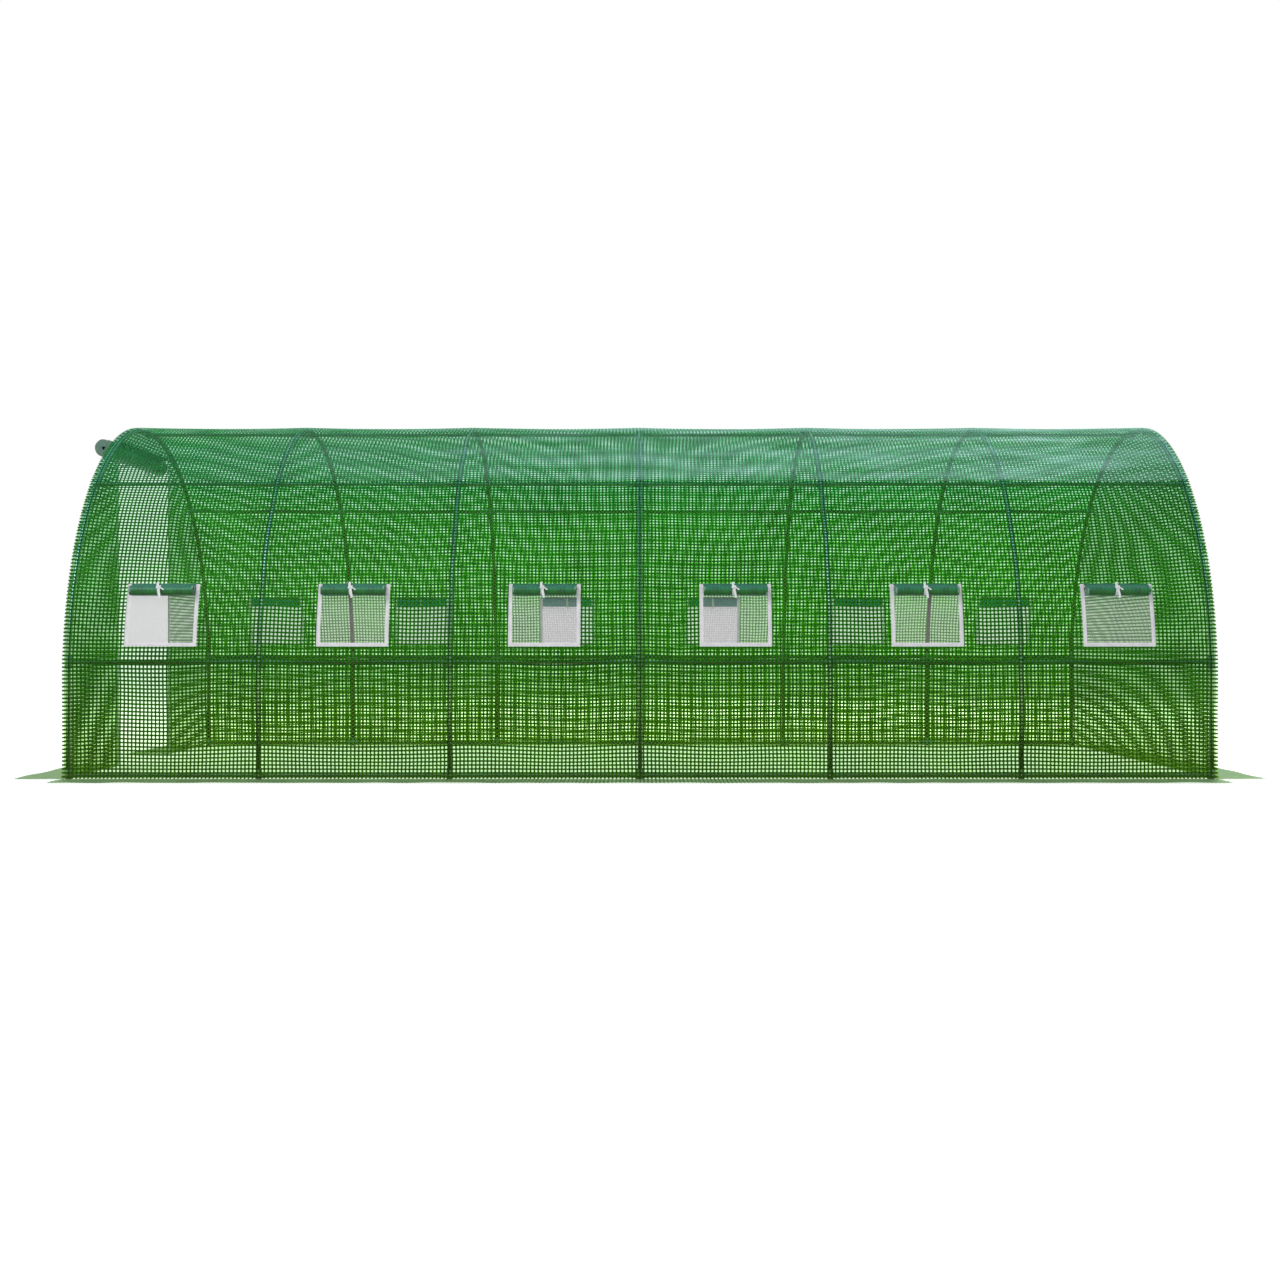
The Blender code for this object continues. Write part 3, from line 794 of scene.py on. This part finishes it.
def add_end_cover(name, sign, doorway):
    """A flat end: clear film with its woven grid, cut to the arch, and open where the door is."""
    reach = END_EDGE - 0.0005
    door_top = DOOR_OPENING_Z if doorway else DOOR_HEAD_Z

    def upright(y, t, lift):
        # rows up to 1 reach the door's head, and rows from 1 to 2 go on to the arch
        ceiling = LEG_HEIGHT + np.sqrt(np.maximum(END_EDGE ** 2 - y ** 2, 0.0))
        head = np.minimum(door_top, (0.98 if doorway else 0.93) * ceiling)
        z = np.where(t < 1, t * head, head + (t - 1) * (ceiling - head))
        return end_place(sign, y, z, lift)

    def level(t, z):
        # columns up to 1 reach the doorway's side, and those from 1 to 2 go on to the arch
        width = np.sqrt(np.maximum(reach ** 2 - np.maximum(z - LEG_HEIGHT, 0) ** 2, 0.0))
        jamb = np.minimum(DOOR_HALF_WIDTH, 0.9 * width)
        size = np.abs(t)
        y = np.where(size < 1, size * jamb, jamb + (size - 1) * (width - jamb))
        return end_place(sign, np.sign(t) * y, z, TAPE_LIFT)

    def closed(ys, ts):
        made = all_cells(ys, ts)
        if doorway:
            shut = np.abs(middles(ys)) > DOOR_HALF_WIDTH
            made &= shut[:, None] | (middles(ts) > 1)[None, :]
        return made

    rows = np.concatenate([np.linspace(0, 0.02, 3), np.linspace(0, 1, 15)[1:], np.linspace(1, 2, 5)[1:]])
    columns = {-reach, reach, -DOOR_HALF_WIDTH, DOOR_HALF_WIDTH}
    for index in range(-15, 16):
        place = index * 0.0975
        if min(abs(place - each) for each in columns) > 0.03:
            columns.add(place)
    columns = np.array(sorted(columns))
    film = bent_grid(columns, rows, lambda y, t: upright(y, t, FILM_LIFT), closed(columns, rows))
    edges, is_tape = tape_edges(-reach, reach)
    is_tape[[0, -1]] = False
    kept = closed(edges, rows) & is_tape[:, None]
    uprights = bent_grid(edges, rows, lambda y, t: upright(y, t, -TAPE_LIFT), kept)
    across = np.concatenate([np.linspace(-2, -1, 11), np.linspace(-1, 1, 9)[1:-1], np.linspace(1, 2, 11)])
    heights, is_tape = tape_edges(LOWEST_FILM, LEG_HEIGHT + reach)
    kept = all_cells(across, heights) & is_tape[None, :]
    if doorway:
        kept &= (np.abs(middles(across)) > 1)[:, None] | (middles(heights) > door_top)[None, :]
    levels = bent_grid(across, heights, level, kept)
    return add_woven(name, WALL_FILM, "cover_film", film, uprights, levels)


def add_flap(name, xs, ys, axis, seed):
    """A ground flap: film lying loose on the ground, sewn on along its edge nearest the tunnel."""
    waves = gentle_waves(8, 0.55, seed)
    seam = min((xs, ys)[axis], key=abs)
    across, along = (np.linspace(low, high, max(3, int((high - low) / 0.05))) for low, high in (xs, ys))

    def flat(x, y, lift):
        from_seam = np.abs((x, y)[axis] - seam)
        rise = np.maximum(FLAP_RISE + FLAP_WAVE * wave_height(waves, x, y), 0.0012)
        return np.stack([x, y, FLAP_BASE + rise * np.clip(from_seam / 0.04, 0.25, 1) + lift], 1)

    film = bent_grid(across, along, lambda x, y: flat(x, y, FILM_LIFT))
    edges, is_tape = tape_edges(*xs)
    kept = all_cells(edges, along) & is_tape[:, None]
    first = bent_grid(edges, along, lambda x, y: flat(x, y, -TAPE_LIFT), kept)
    edges, is_tape = tape_edges(*ys)
    kept = all_cells(across, edges) & is_tape[None, :]
    second = bent_grid(across, edges, lambda x, y: flat(x, y, TAPE_LIFT), kept)
    film, grid = add_woven(name, FLAP_FILM, "flap_film", film, first, second)


def add_covers():
    """The long covers, the ends and the ground flaps."""
    six_holes = 6 * 2 * HOLE_REACH * (HOLE_HIGH - HOLE_LOW)
    for name, low, high, holes in (
        ("side_cover_front", 0.0, SEAM_LOW, six_holes),
        ("roof_cover", SEAM_LOW, SEAM_HIGH, 0),
        ("side_cover_rear", SEAM_HIGH, ROUND_LENGTH, six_holes),
    ):
        film, grid = add_cover(name, low, high)
    for name, sign, hoop, hole in (
        ("plain_end_cover", 1, "hoop_7_tube", 0),
        ("door_end_cover", -1, "hoop_1_tube", 2 * DOOR_HALF_WIDTH * DOOR_OPENING_Z),
    ):
        film, grid = add_end_cover(name, sign, hole > 0)
    tunnel = (-COVER_HALF_LENGTH, COVER_HALF_LENGTH)
    end = END_FLAP_HALF_WIDTH
    door_end = (-END_FLAP_EDGE, -END_FLAP_SEAM)
    add_flap("ground_flap_front", tunnel, (-SIDE_FLAP_EDGE, -SIDE_FLAP_SEAM), axis=1, seed=31)
    add_flap("ground_flap_rear", tunnel, (SIDE_FLAP_SEAM, SIDE_FLAP_EDGE), axis=1, seed=32)
    add_flap("ground_flap_plain_end", (END_FLAP_SEAM, END_FLAP_EDGE), (-end, end), axis=0, seed=33)
    add_flap("ground_flap_door_front", door_end, (-end, -DOOR_HALF_WIDTH), axis=0, seed=34)
    add_flap("ground_flap_door_rear", door_end, (DOOR_HALF_WIDTH, end), axis=0, seed=35)


def edges_of(items):
    """Which of these are edges."""
    return [each for each in items if isinstance(each, bmesh.types.BMEdge)]


def round_edges(shape, edges, offset, segments=2):
    """Bevels these edges."""
    bmesh.ops.bevel(
        shape, geom=edges, offset=offset, segments=segments, profile=0.5, affect="EDGES", material=-1
    )


def hoop_tube(x):
    """A hoop's bent tube: up the front leg, over the arch and down the rear leg."""
    shape = bmesh.new()
    start = Matrix.Translation((x, -ARCH_RADIUS, LEG_TUBE_START))
    bmesh.ops.create_circle(shape, segments=20, radius=HOOP_TUBE_RADIUS, matrix=start)
    rim = shape.edges[:]
    leg = LEG_HEIGHT - LEG_TUBE_START
    for rise in (leg, 0, -leg):
        if rise:
            made = bmesh.ops.extrude_edge_only(shape, edges=rim)["geom"]
            points = [each for each in made if isinstance(each, bmesh.types.BMVert)]
            bmesh.ops.translate(shape, verts=points, vec=(0, 0, rise))
        else:
            made = bmesh.ops.spin(
                shape, geom=rim, cent=(x, 0, LEG_HEIGHT), axis=(-1, 0, 0), angle=math.pi, steps=72
            )["geom_last"]
        rim = edges_of(made)
    bmesh.ops.remove_doubles(shape, verts=shape.verts[:], dist=1e-6)
    bmesh.ops.holes_fill(shape, edges=shape.edges[:], sides=0)
    bmesh.ops.recalc_face_normals(shape, faces=shape.faces[:])
    return shape


def add_rod(shape, start, end, radius, sides, edge=0.0):
    """A round rod from start to end, its rims rounded, added to the shape."""
    start = Vector(start)
    end = Vector(end)
    way = end - start
    lay = Matrix.Translation((start + end) / 2) @ way.to_track_quat("Z", "Y").to_matrix().to_4x4()
    made = bmesh.ops.create_cone(
        shape, cap_ends=True, segments=sides, radius1=radius, radius2=radius, depth=way.length, matrix=lay
    )["verts"]
    if edge > 0:
        caps = {face for point in made for face in point.link_faces if len(face.verts) == sides}
        round_edges(shape, list({rim for face in caps for rim in face.edges}), edge)


def connector(x, y, z, low, high):
    """A moulded cross or T: a sleeve on the hoop, a sleeve on the rail, and the bolt that clamps it.

    The rail's sleeve reaches from low to high past x. A connector on the ground is a foot, with no bolt.
    """
    shape = bmesh.new()
    rail = Vector((x, y, z))
    inward = Vector((0, -y, LEG_HEIGHT - z)).normalized()
    if z == GROUND_RAIL_HEIGHT:
        foot = math.copysign(ARCH_RADIUS, y)
        sleeve = [(x, foot, height) for height in FOOT_SPAN]
    else:
        along = Vector((0, *Vector((z - LEG_HEIGHT, -y)).normalized()))
        hoop = rail - inward * (ARCH_RADIUS - RAIL_RADIUS)
        sleeve = hoop - HOOP_SLEEVE_REACH * along, hoop + HOOP_SLEEVE_REACH * along
    add_rod(shape, *sleeve, HOOP_SLEEVE_RADIUS, 20, SLEEVE_EDGE)
    add_rod(shape, (x + low, y, z), (x + high, y, z), RAIL_SLEEVE_RADIUS, 18, SLEEVE_EDGE)
    if z != GROUND_RAIL_HEIGHT:
        boss, head, end = [rail + inward * 0.012 + inward * rise for rise in BOLT_RISES]
        add_rod(shape, boss, head, BOSS_RADIUS, 16, 0.001)
        add_rod(shape, head, end, BOLT_RADIUS, 6)
    return to_mesh(shape)


def add_frame():
    """Hoops, rails and the moulded connectors that join them."""
    rails = [("ground_rail_front", -RAIL_RADIUS, GROUND_RAIL_HEIGHT)]
    names = ("mid_rail_front", "upper_rail_front", "ridge_rail", "upper_rail_rear", "mid_rail_rear")
    for name, angle in zip(names, RAIL_ANGLES):
        rails.append((name, *arch_point(RAIL_RADIUS, angle)))
    rails.append(("ground_rail_rear", RAIL_RADIUS, GROUND_RAIL_HEIGHT))
    for index in range(7):
        x = index - HALF_LENGTH
        tube = add_piece(f"hoop_{index + 1}_tube", hoop_tube(x), HOOP_STEEL)
        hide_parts(f"hoop_{index + 1}")
        low = -END_SLEEVE_REACH if index == 0 else -SLEEVE_REACH
        high = END_SLEEVE_REACH if index == 6 else SLEEVE_REACH
        joints = join([connector(x, y, z, low, high) for _, y, z in rails])
        joints = add_piece(f"hoop_{index + 1}_connectors", joints, MOULDED)
        carry((tube, joints), "greenhouse")
    for name, y, z in rails:
        low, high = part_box(name)
        shape = bmesh.new()
        add_rod(shape, (low.x, y, z), (high.x, y, z), RAIL_TUBE_RADIUS, 24, 0.001)
        rail = add_piece(name + "_tube", shape, RAIL_STEEL)
        carry([rail], "greenhouse")
        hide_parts(name)


def cord_mesh(points, radius, sides=3):
    """A cord along these points, as a mesh."""
    line = bpy.data.curves.new("cord", "CURVE")
    line.dimensions = "3D"
    line.bevel_depth = radius
    line.bevel_resolution = sides
    line.use_fill_caps = True
    spline = line.splines.new("POLY")
    spline.points.add(len(points) - 1)
    for point, place in zip(spline.points, points):
        point.co = (*place, 1)
    holder = add_object("cord", line)
    bpy.context.view_layer.update()
    made = bpy.data.meshes.new_from_object(holder.evaluated_get(bpy.context.evaluated_depsgraph_get()))
    bpy.data.objects.remove(holder)
    bpy.data.curves.remove(line)
    for layer in list(made.uv_layers):
        made.uv_layers.remove(layer)
    points = read_points(made)
    lay_cloth_map(made, np.stack([points[:, 0] + points[:, 1], points[:, 2] + points[:, 0]], 1))
    return made


def smooth_path(points, steps=6):
    """Points on a smooth curve through the given ones."""
    points = [Vector(each) for each in points]
    padded = [2 * points[0] - points[1], *points, 2 * points[-1] - points[-2]]
    made = []
    for index in range(1, len(padded) - 2):
        a, b, c, d = padded[index - 1:index + 3]
        for step in range(steps):
            t = step / steps
            square = (2 * a - 5 * b + 4 * c - d) * t ** 2
            cube = (3 * b - a - 3 * c + d) * t ** 3
            made.append(0.5 * (2 * b + (c - a) * t + square + cube))
    return made + [points[-1]]


def path_reach(path):
    """How far along the path each of its points is."""
    return np.concatenate([[0], np.cumsum(np.linalg.norm(np.diff(path, axis=0), axis=1))])


def hanging(start, pull, end, steps):
    """Points of a soft curve from start to end, drawn towards pull."""
    return [(1 - t) ** 2 * start + 2 * t * (1 - t) * pull + t * t * end for t in steps]


class Roll(typing.NamedTuple):
    """A sheet rolled up outwards round an axis, in its own frame: U along it, out from the wall, and up."""

    half_length: float
    inner: float
    outer: float
    turns: float
    pinches: tuple
    waves: list

    def length(self):
        """How long the rolled part of the sheet is."""
        return math.pi * self.turns * (self.inner + self.outer)

    def spiral(self, t):
        """The sheet's radius without its waves, from its outer end, t 0, to its inner end, t 1."""
        return self.outer + (self.inner - self.outer) * t

    def radius(self, u, t):
        """The sheet's radius, drawn in at the ties."""
        base = self.spiral(t)
        for place in self.pinches:
            base = base * (1 - PINCH_DEPTH * near(u - place, PINCH_WIDTH))
        loose = 1 + 0.035 * wave_height(self.waves, u * 1.5, t * self.turns * 1.2)
        return np.minimum(base * loose, self.outer)

    def wind(self, u, radius, t):
        """The (u, out, up) at this radius and t."""
        turn = ROLL_START + 2 * math.pi * self.turns * t
        return u, radius * np.cos(turn), radius * np.sin(turn) * ROLL_HEIGHT

    def point(self, u, t):
        """The sheet's (u, out, up) at u and t."""
        return self.wind(u, self.radius(u, t), t)

    def middle(self, to_frame, t):
        """The place of the sheet's middle at t."""
        return to_frame(*self.point(np.array([0.0]), np.array([t])))[0]


def cloth_roll(roll, to_frame):
    """The rolled sheet as one spiral surface. to_frame turns (u, out, up) into points."""
    # its columns are close together near its ends and its ties
    shares = (0.0, 0.012, 0.035, 0.08, 0.16, 0.26, 0.36, 0.46, 0.58, 0.7, 0.82)
    across = {sign * roll.half_length * (1 - share) for share in shares for sign in (-1, 1)} | {0.0}
    for place in roll.pinches:
        across |= {place + step for step in (-0.022, -0.01, 0.0, 0.01, 0.022)}
    along = np.linspace(0, 1, int(roll.turns * 20) + 1)
    return bent_grid(
        sorted(across), along, lambda u, t: to_frame(*roll.point(u, t)), cloth_length=roll.length()
    )


def rolled_hem(roll, to_frame, width, thickness):
    """The folded hem at both ends of a roll: a thick edge that winds up with the sheet."""
    # its section is flat, with soft corners
    corner_u = np.array([1.0, 1.0, 0.72, -0.72, -1.0, -1.0, -0.72, 0.72, 1.0]) * width / 2
    corner_r = np.array([-0.55, 0.55, 1.0, 1.0, 0.55, -0.55, -1.0, -1.0, -0.55]) * thickness / 2
    corners = np.arange(9.0)
    along = np.linspace(0, 1, int(roll.turns * 24) + 1)
    meshes = []
    for end in (-1, 1):
        def place(corner, t):
            u = end * (roll.half_length - width / 2 + np.interp(corner, corners, corner_u))
            radius = roll.spiral(t) - thickness / 2 + np.interp(corner, corners, corner_r)
            return to_frame(*roll.wind(u, radius, t))

        meshes.append(bent_grid(corners, along, place))
    return join(meshes)


def ribbon(path, width, to_frame):
    """A flat woven tape along a path of (u, out, up) points, with its width along U."""
    path = np.array([tuple(each) for each in path])
    reach = path_reach(path)

    def place(side, far):
        u, out, up = [np.interp(far, reach, path[:, axis]) for axis in range(3)]
        return to_frame(u + side, out, up)

    return bent_grid([-width / 2, 0.0, width / 2], reach, place)


def tie_loop(roll, place, to_frame, knot_angle, tails, tall=1.0, cord=0.0):
    """A tie round the roll at place, knotted in front, with its loose ends. A slack one is tall.

    The loop is a flat tape, or a round cord of the given radius.
    """
    size = float(roll.radius(np.array([place]), np.array([0.0]))[0]) + 0.0012
    far = size + cord
    loop = []
    for step in range(33):
        turn = 2 * math.pi * step / 32
        height = far * math.sin(turn) * ROLL_HEIGHT * tall
        loop.append((place + 0.001 * math.sin(turn), far * math.cos(turn), height))

    def placed(points):
        return [to_frame(*map(np.array, each)).ravel() for each in points]

    meshes = [cord_mesh(placed(loop), cord, 6) if cord else ribbon(loop, TIE_WIDTH, to_frame)]
    turn = math.radians(knot_angle)
    out = Vector((0, math.cos(turn), math.sin(turn) * tall))
    side = Vector((0, -out.z, out.y))
    centre = Vector((place, 0, 0)) + out * size
    radius = TIE_WIDTH * 0.30
    knot = []
    for step in range(17):
        turn = 2 * math.pi * step / 16
        swing = Vector((math.cos(turn), 0, 0)) * radius * 1.9 + side * math.sin(2 * turn) * radius * 1.4
        knot.append(centre + swing + out * radius * (0.8 + 0.6 * math.sin(turn)))
    meshes.append(cord_mesh(placed(knot), radius * 0.85))
    for tail in tails:
        line = smooth_path([centre + out * radius * 0.8] + [centre + Vector(each) for each in tail])
        meshes.append(ribbon(line, TIE_WIDTH * 0.75, to_frame))
    return join(meshes)


def add_roll(cloth, hem_name, ties, body, roll, to_frame, hem_size):
    """Adds a rolled sheet's ties, a (name, mesh) each, and its hem. The sheet stands for the body's node."""
    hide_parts(body)
    ties = [add_piece(name, mesh, TIE_CORD) for name, mesh in ties]
    hem = add_piece(hem_name, rolled_hem(roll, to_frame, *hem_size), GREEN_BINDING)
    carry((cloth, *ties, hem), body)
    roll.length()


def add_strip(name, half, columns, path, place):
    """The strip of film that a roll hangs from."""
    path = np.array(path)
    reach = path_reach(path)

    def bent(across, far):
        return np.stack(place(across, *[np.interp(far, reach, path[:, axis]) for axis in range(3)]), 1)

    strip = add_grid(name, ROLLED_FILM, np.linspace(-half, half, columns), reach, bent)
    tuple(path[1])
    tuple(path[-1])
    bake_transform(strip)


WINDOW_TAILS = (
    [(-0.003, 0.006, 0.008), (-0.006, 0.004, 0.020), (-0.003, 0.001, 0.032)],
    [(0.010, 0.007, -0.002), (0.020, 0.006, -0.008), (0.026, 0.003, -0.014)],
    [(0.002, 0.007, -0.014), (0.006, 0.004, -0.034), (0.009, -0.003, -0.056)],
)
DOOR_TAILS = (
    [(0.006, 0.006, -0.02), (0.012, 0.002, -0.06), (0.006, -0.006, -0.10)],
    [(-0.008, 0.006, -0.015), (-0.018, 0.004, -0.05), (-0.014, -0.004, -0.085)],
)


def add_window(name, side, flip, centre, seed):
    """A window with its flap rolled up and tied.

    The net and its white binding lie behind the film's edge, and a strip of the flap joins the window's head
    to the roll.
    """
    body = f"window_roll_{name}"
    half = WINDOW_ROLL_HALF_LENGTH

    def on_cover(lift):
        return lambda x, s: on_skin(centre + flip * x, s if flip > 0 else ROUND_LENGTH - s, lift)

    out = HOLE_REACH + BORDER_OUT
    low = HOLE_LOW - BORDER_OUT
    high = HOLE_HIGH + BORDER_OUT
    wide = BORDER_OUT + BORDER_IN
    xs = [-out, -out + wide, -0.12, -0.06, 0.0, 0.06, 0.12, out - wide, out]
    rows = [low, low + wide, low + 0.08, low + 0.14, low + 0.20, low + 0.26, high - wide, HOLE_HIGH, high]
    kept = ~all_cells(xs, rows)
    kept[[0, -1], :] = True
    kept[:, [0, -2]] = True
    faces = [bent_grid(xs, rows, on_cover(lift), kept) for lift in BORDER_LIFTS]
    border = add_piece(f"window_border_{name}", join(faces), WHITE_BINDING)
    rows = rows[1:-2]
    net = add_grid(f"window_net_{name}_mesh", NET, xs[1:-1], rows, on_cover(NET_LIFT))
    carry((border, net), "greenhouse")
    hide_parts(f"window_net_{name}")

    # the flap's lower layer hangs inside the head of the window, with the inner half of its tie
    hang = [up_cover(angle) for angle in LINING_ANGLES]
    across = np.linspace(-half, half, 9)
    lining = add_grid(f"window_lining_{name}", FLAP_LINING, across, hang, on_cover(LINING_LIFT))
    across = (-0.008, -0.001, 0.006)
    inner_tie = add_grid(f"window_inner_tie_{name}", TIE_CORD, across, hang, on_cover(INNER_TIE_LIFT))
    carry((lining, inner_tie), "greenhouse")

    middle_y, middle_z = arch_point(WINDOW_ROLL_RADIUS, WINDOW_ROLL_ANGLE)
    lean = math.radians(WINDOW_ROLL_ANGLE)
    roll = Roll(
        half, inner=0.008, outer=0.029, turns=2.9, pinches=(-0.01,), waves=gentle_waves(6, 0.5, seed)
    )

    def to_frame(u, o, z):
        y = middle_y - o * math.cos(lean) + z * math.sin(lean)
        up = middle_z + o * math.sin(lean) + z * math.cos(lean)
        points = np.stack([np.atleast_1d(u), np.atleast_1d(y), np.atleast_1d(up)], 1)
        return points * np.array([flip, flip, 1.0]) + np.array([centre, 0, 0])

    rolled = add_piece(f"window_flap_{name}", cloth_roll(roll, to_frame), ROLLED_FILM)
    ties = [(f"window_tie_{name}", tie_loop(roll, roll.pinches[0], to_frame, 12, WINDOW_TAILS))]
    add_roll(rolled, f"window_hem_{name}", ties, body, roll, to_frame, (0.010, 0.0030))

    head = up_cover(20.75)
    sewn, sewn_low = on_cover(STRIP_LIFT)(np.zeros(2), np.array([head, head - 0.010]))
    meet = roll.middle(to_frame, 0.0)
    aim = meet - roll.middle(to_frame, 0.03)
    pull = meet + aim / np.linalg.norm(aim) * 0.016
    path = [sewn, sewn_low, *hanging(sewn_low, pull, meet, (0.25, 0.5, 0.75, 1.0))]
    add_strip(
        f"window_strip_{name}", half, 9, path, lambda across, x, y, z: (centre + flip * across, y, z),
    )


def add_windows():
    """Six windows in each long side."""
    for side, flip, first_seed in (("front", 1, 50), ("rear", -1, 60)):
        for index, centre in enumerate(WINDOW_CENTRES, 1):
            add_window(f"{side}_{index}", side, flip, centre, first_seed + index)


def add_block(shape, middle, size):
    """A block of this size added to the shape. Its points are given back."""
    lay = Matrix.Translation(middle) @ Matrix.Diagonal((*size, 1))
    return bmesh.ops.create_cube(shape, size=1.0, matrix=lay)["verts"]


def add_zip(side, sign):
    """One of the door's zips, with its teeth, the facing behind it, and its slider."""
    low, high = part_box(f"door_zip_{side}")
    middle = (low.y + high.y) / 2
    heights = np.linspace(low.z, high.z, 60)
    tape = add_grid(
        f"door_zip_{side}_tape", ZIP_TAPE, np.linspace(-ZIP_WIDTH / 2, ZIP_WIDTH / 2, 5), heights,
        lambda y, z: end_place(-1, -(middle + y), z, ZIP_LIFT),
    )
    jamb = add_grid(
        f"door_jamb_{side}", ZIP_TAPE, np.linspace(-JAMB_WIDTH / 2, JAMB_WIDTH / 2, 5), heights,
        lambda y, z: end_place(-1, -(middle + y + sign * 0.014), z, JAMB_LIFT),
    )
    teeth = bmesh.new()
    for step in range(TEETH_COUNT):
        z = low.z + 0.006 + (high.z - low.z - 0.012) * step / (TEETH_COUNT - 1)
        place = end_place(-1, np.array([-middle]), np.array([z]), TEETH_LIFT)[0]
        add_block(teeth, place, TOOTH_SIZE)
    teeth = add_piece(f"door_zip_{side}_teeth", teeth, TIE_CORD, smooth=False)
    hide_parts(f"door_zip_{side}")
    carry((tape, teeth, jamb), "greenhouse")

    low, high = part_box(f"zip_slider_{side}")
    centre = (low + high) / 2
    shape = bmesh.new()
    add_block(shape, centre + Vector((0.0008, 0, 0)), SLIDER_SIZE)
    round_edges(shape, shape.edges[:], 0.0022, 3)
    pull = add_block(shape, centre + Vector((-0.0042, 0, -0.010)), PULL_SIZE)
    round_edges(shape, list({edge for point in pull for edge in point.link_edges}), 0.0006)
    slider = add_piece(f"zip_slider_{side}_body", shape, ZINC)
    carry([slider], f"zip_slider_{side}")
    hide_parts(f"zip_slider_{side}")


def add_door():
    """The rolled-up door over the doorway, its ties, the strip that it hangs from, and the zips."""
    roll = Roll(
        DOOR_ROLL_HALF_LENGTH, inner=0.012, outer=0.0545, turns=8.4, pinches=(-0.45, 0.19),
        waves=gentle_waves(6, 0.5, 77),
    )

    def to_frame(u, o, z):
        x = DOOR_ROLL_X - np.atleast_1d(o)
        return np.stack([x, np.atleast_1d(-u), DOOR_ROLL_Z + np.atleast_1d(z)], 1)

    door = add_piece("door_roll_cloth", cloth_roll(roll, to_frame), ROLLED_DOOR)
    ties = []
    for index, place in enumerate(roll.pinches, 1):
        tie = tie_loop(roll, place, to_frame, -20, DOOR_TAILS, tall=1.36, cord=0.0052)
        ties.append((f"door_tie_{index}", tie))
    add_roll(door, "door_roll_hem", ties, "door_roll", roll, to_frame, (0.016, 0.0046))
    top = np.array([-END_FILM_X - ZIP_LIFT, 0, 1.885])
    pull = np.array([-3.034, 0, 1.868])
    path = [top + [0, 0, 0.008], top + [0, 0, -0.006]]
    path += hanging(top, pull, roll.middle(to_frame, 0.0), (0.4, 0.7, 1.0))
    # unrolled, it hangs between the sliders and over the inner edges of the zips
    add_strip(
        "door_strip", 0.538, 19, path, lambda across, x, y, z: (x, -across, z),
    )
    add_zip("front", -1)
    add_zip("rear", 1)


def add_studio():
    """The floor, the soft light and the camera."""
    scene = bpy.context.scene
    ground = bmesh.new()
    bmesh.ops.create_grid(ground, x_segments=2, y_segments=2, size=60)
    add_piece("studio_floor", ground, FLOOR, smooth=False)
    world = bpy.data.worlds.new("studio")
    scene.world = world
    world.use_nodes = True
    tree = world.node_tree
    tree.nodes.clear()
    seen, ray = seen_ray(tree)
    seen = maths(tree, "MAXIMUM", seen, ray["Is Transmission Ray"])
    dim = add_node(tree, "Background", {"Color": linear("F4F8FF"), "Strength": 0.72})
    white = add_node(tree, "Background", {"Color": (1, 1, 1, 1), "Strength": 1.0})
    add_node(tree, "OutputWorld", {"Surface": mixed(tree, seen, dim, white)})
    for name, place, aim, size, power in (
        ("key_light", (-5.5, -8.0, 9.0), (0, 0, 0.8), 5.0, 540),
        ("back_light", (2.5, 9.0, 6.5), (0, 0, 0.9), 6.0, 1300),
        ("side_light", (7.0, 5.5, 9.0), (0, 0, 0.9), 8.0, 260),
    ):
        lamp = bpy.data.lights.new(name, "AREA")
        lamp.size = size
        lamp.energy = power
        holder = add_object(name, lamp)
        holder.location = place
        holder.rotation_euler = (Vector(aim) - Vector(place)).to_track_quat("-Z", "Y").to_euler()
        holder.visible_glossy = name != "back_light"
    lens = bpy.data.cameras.new("camera")
    lens.lens = CAMERA_LENS
    lens.sensor_width = 36
    lens.shift_y = CAMERA_SHIFT
    camera = add_object("camera", lens)
    camera.location = CAMERA_PLACE
    camera.rotation_euler = (math.radians(90), 0, 0)
    scene.camera = camera
    scene.view_settings.view_transform = "Standard"
    scene.cycles.transparent_max_bounces = 16


add_studio()
add_frame()
add_covers()
add_windows()
add_door()
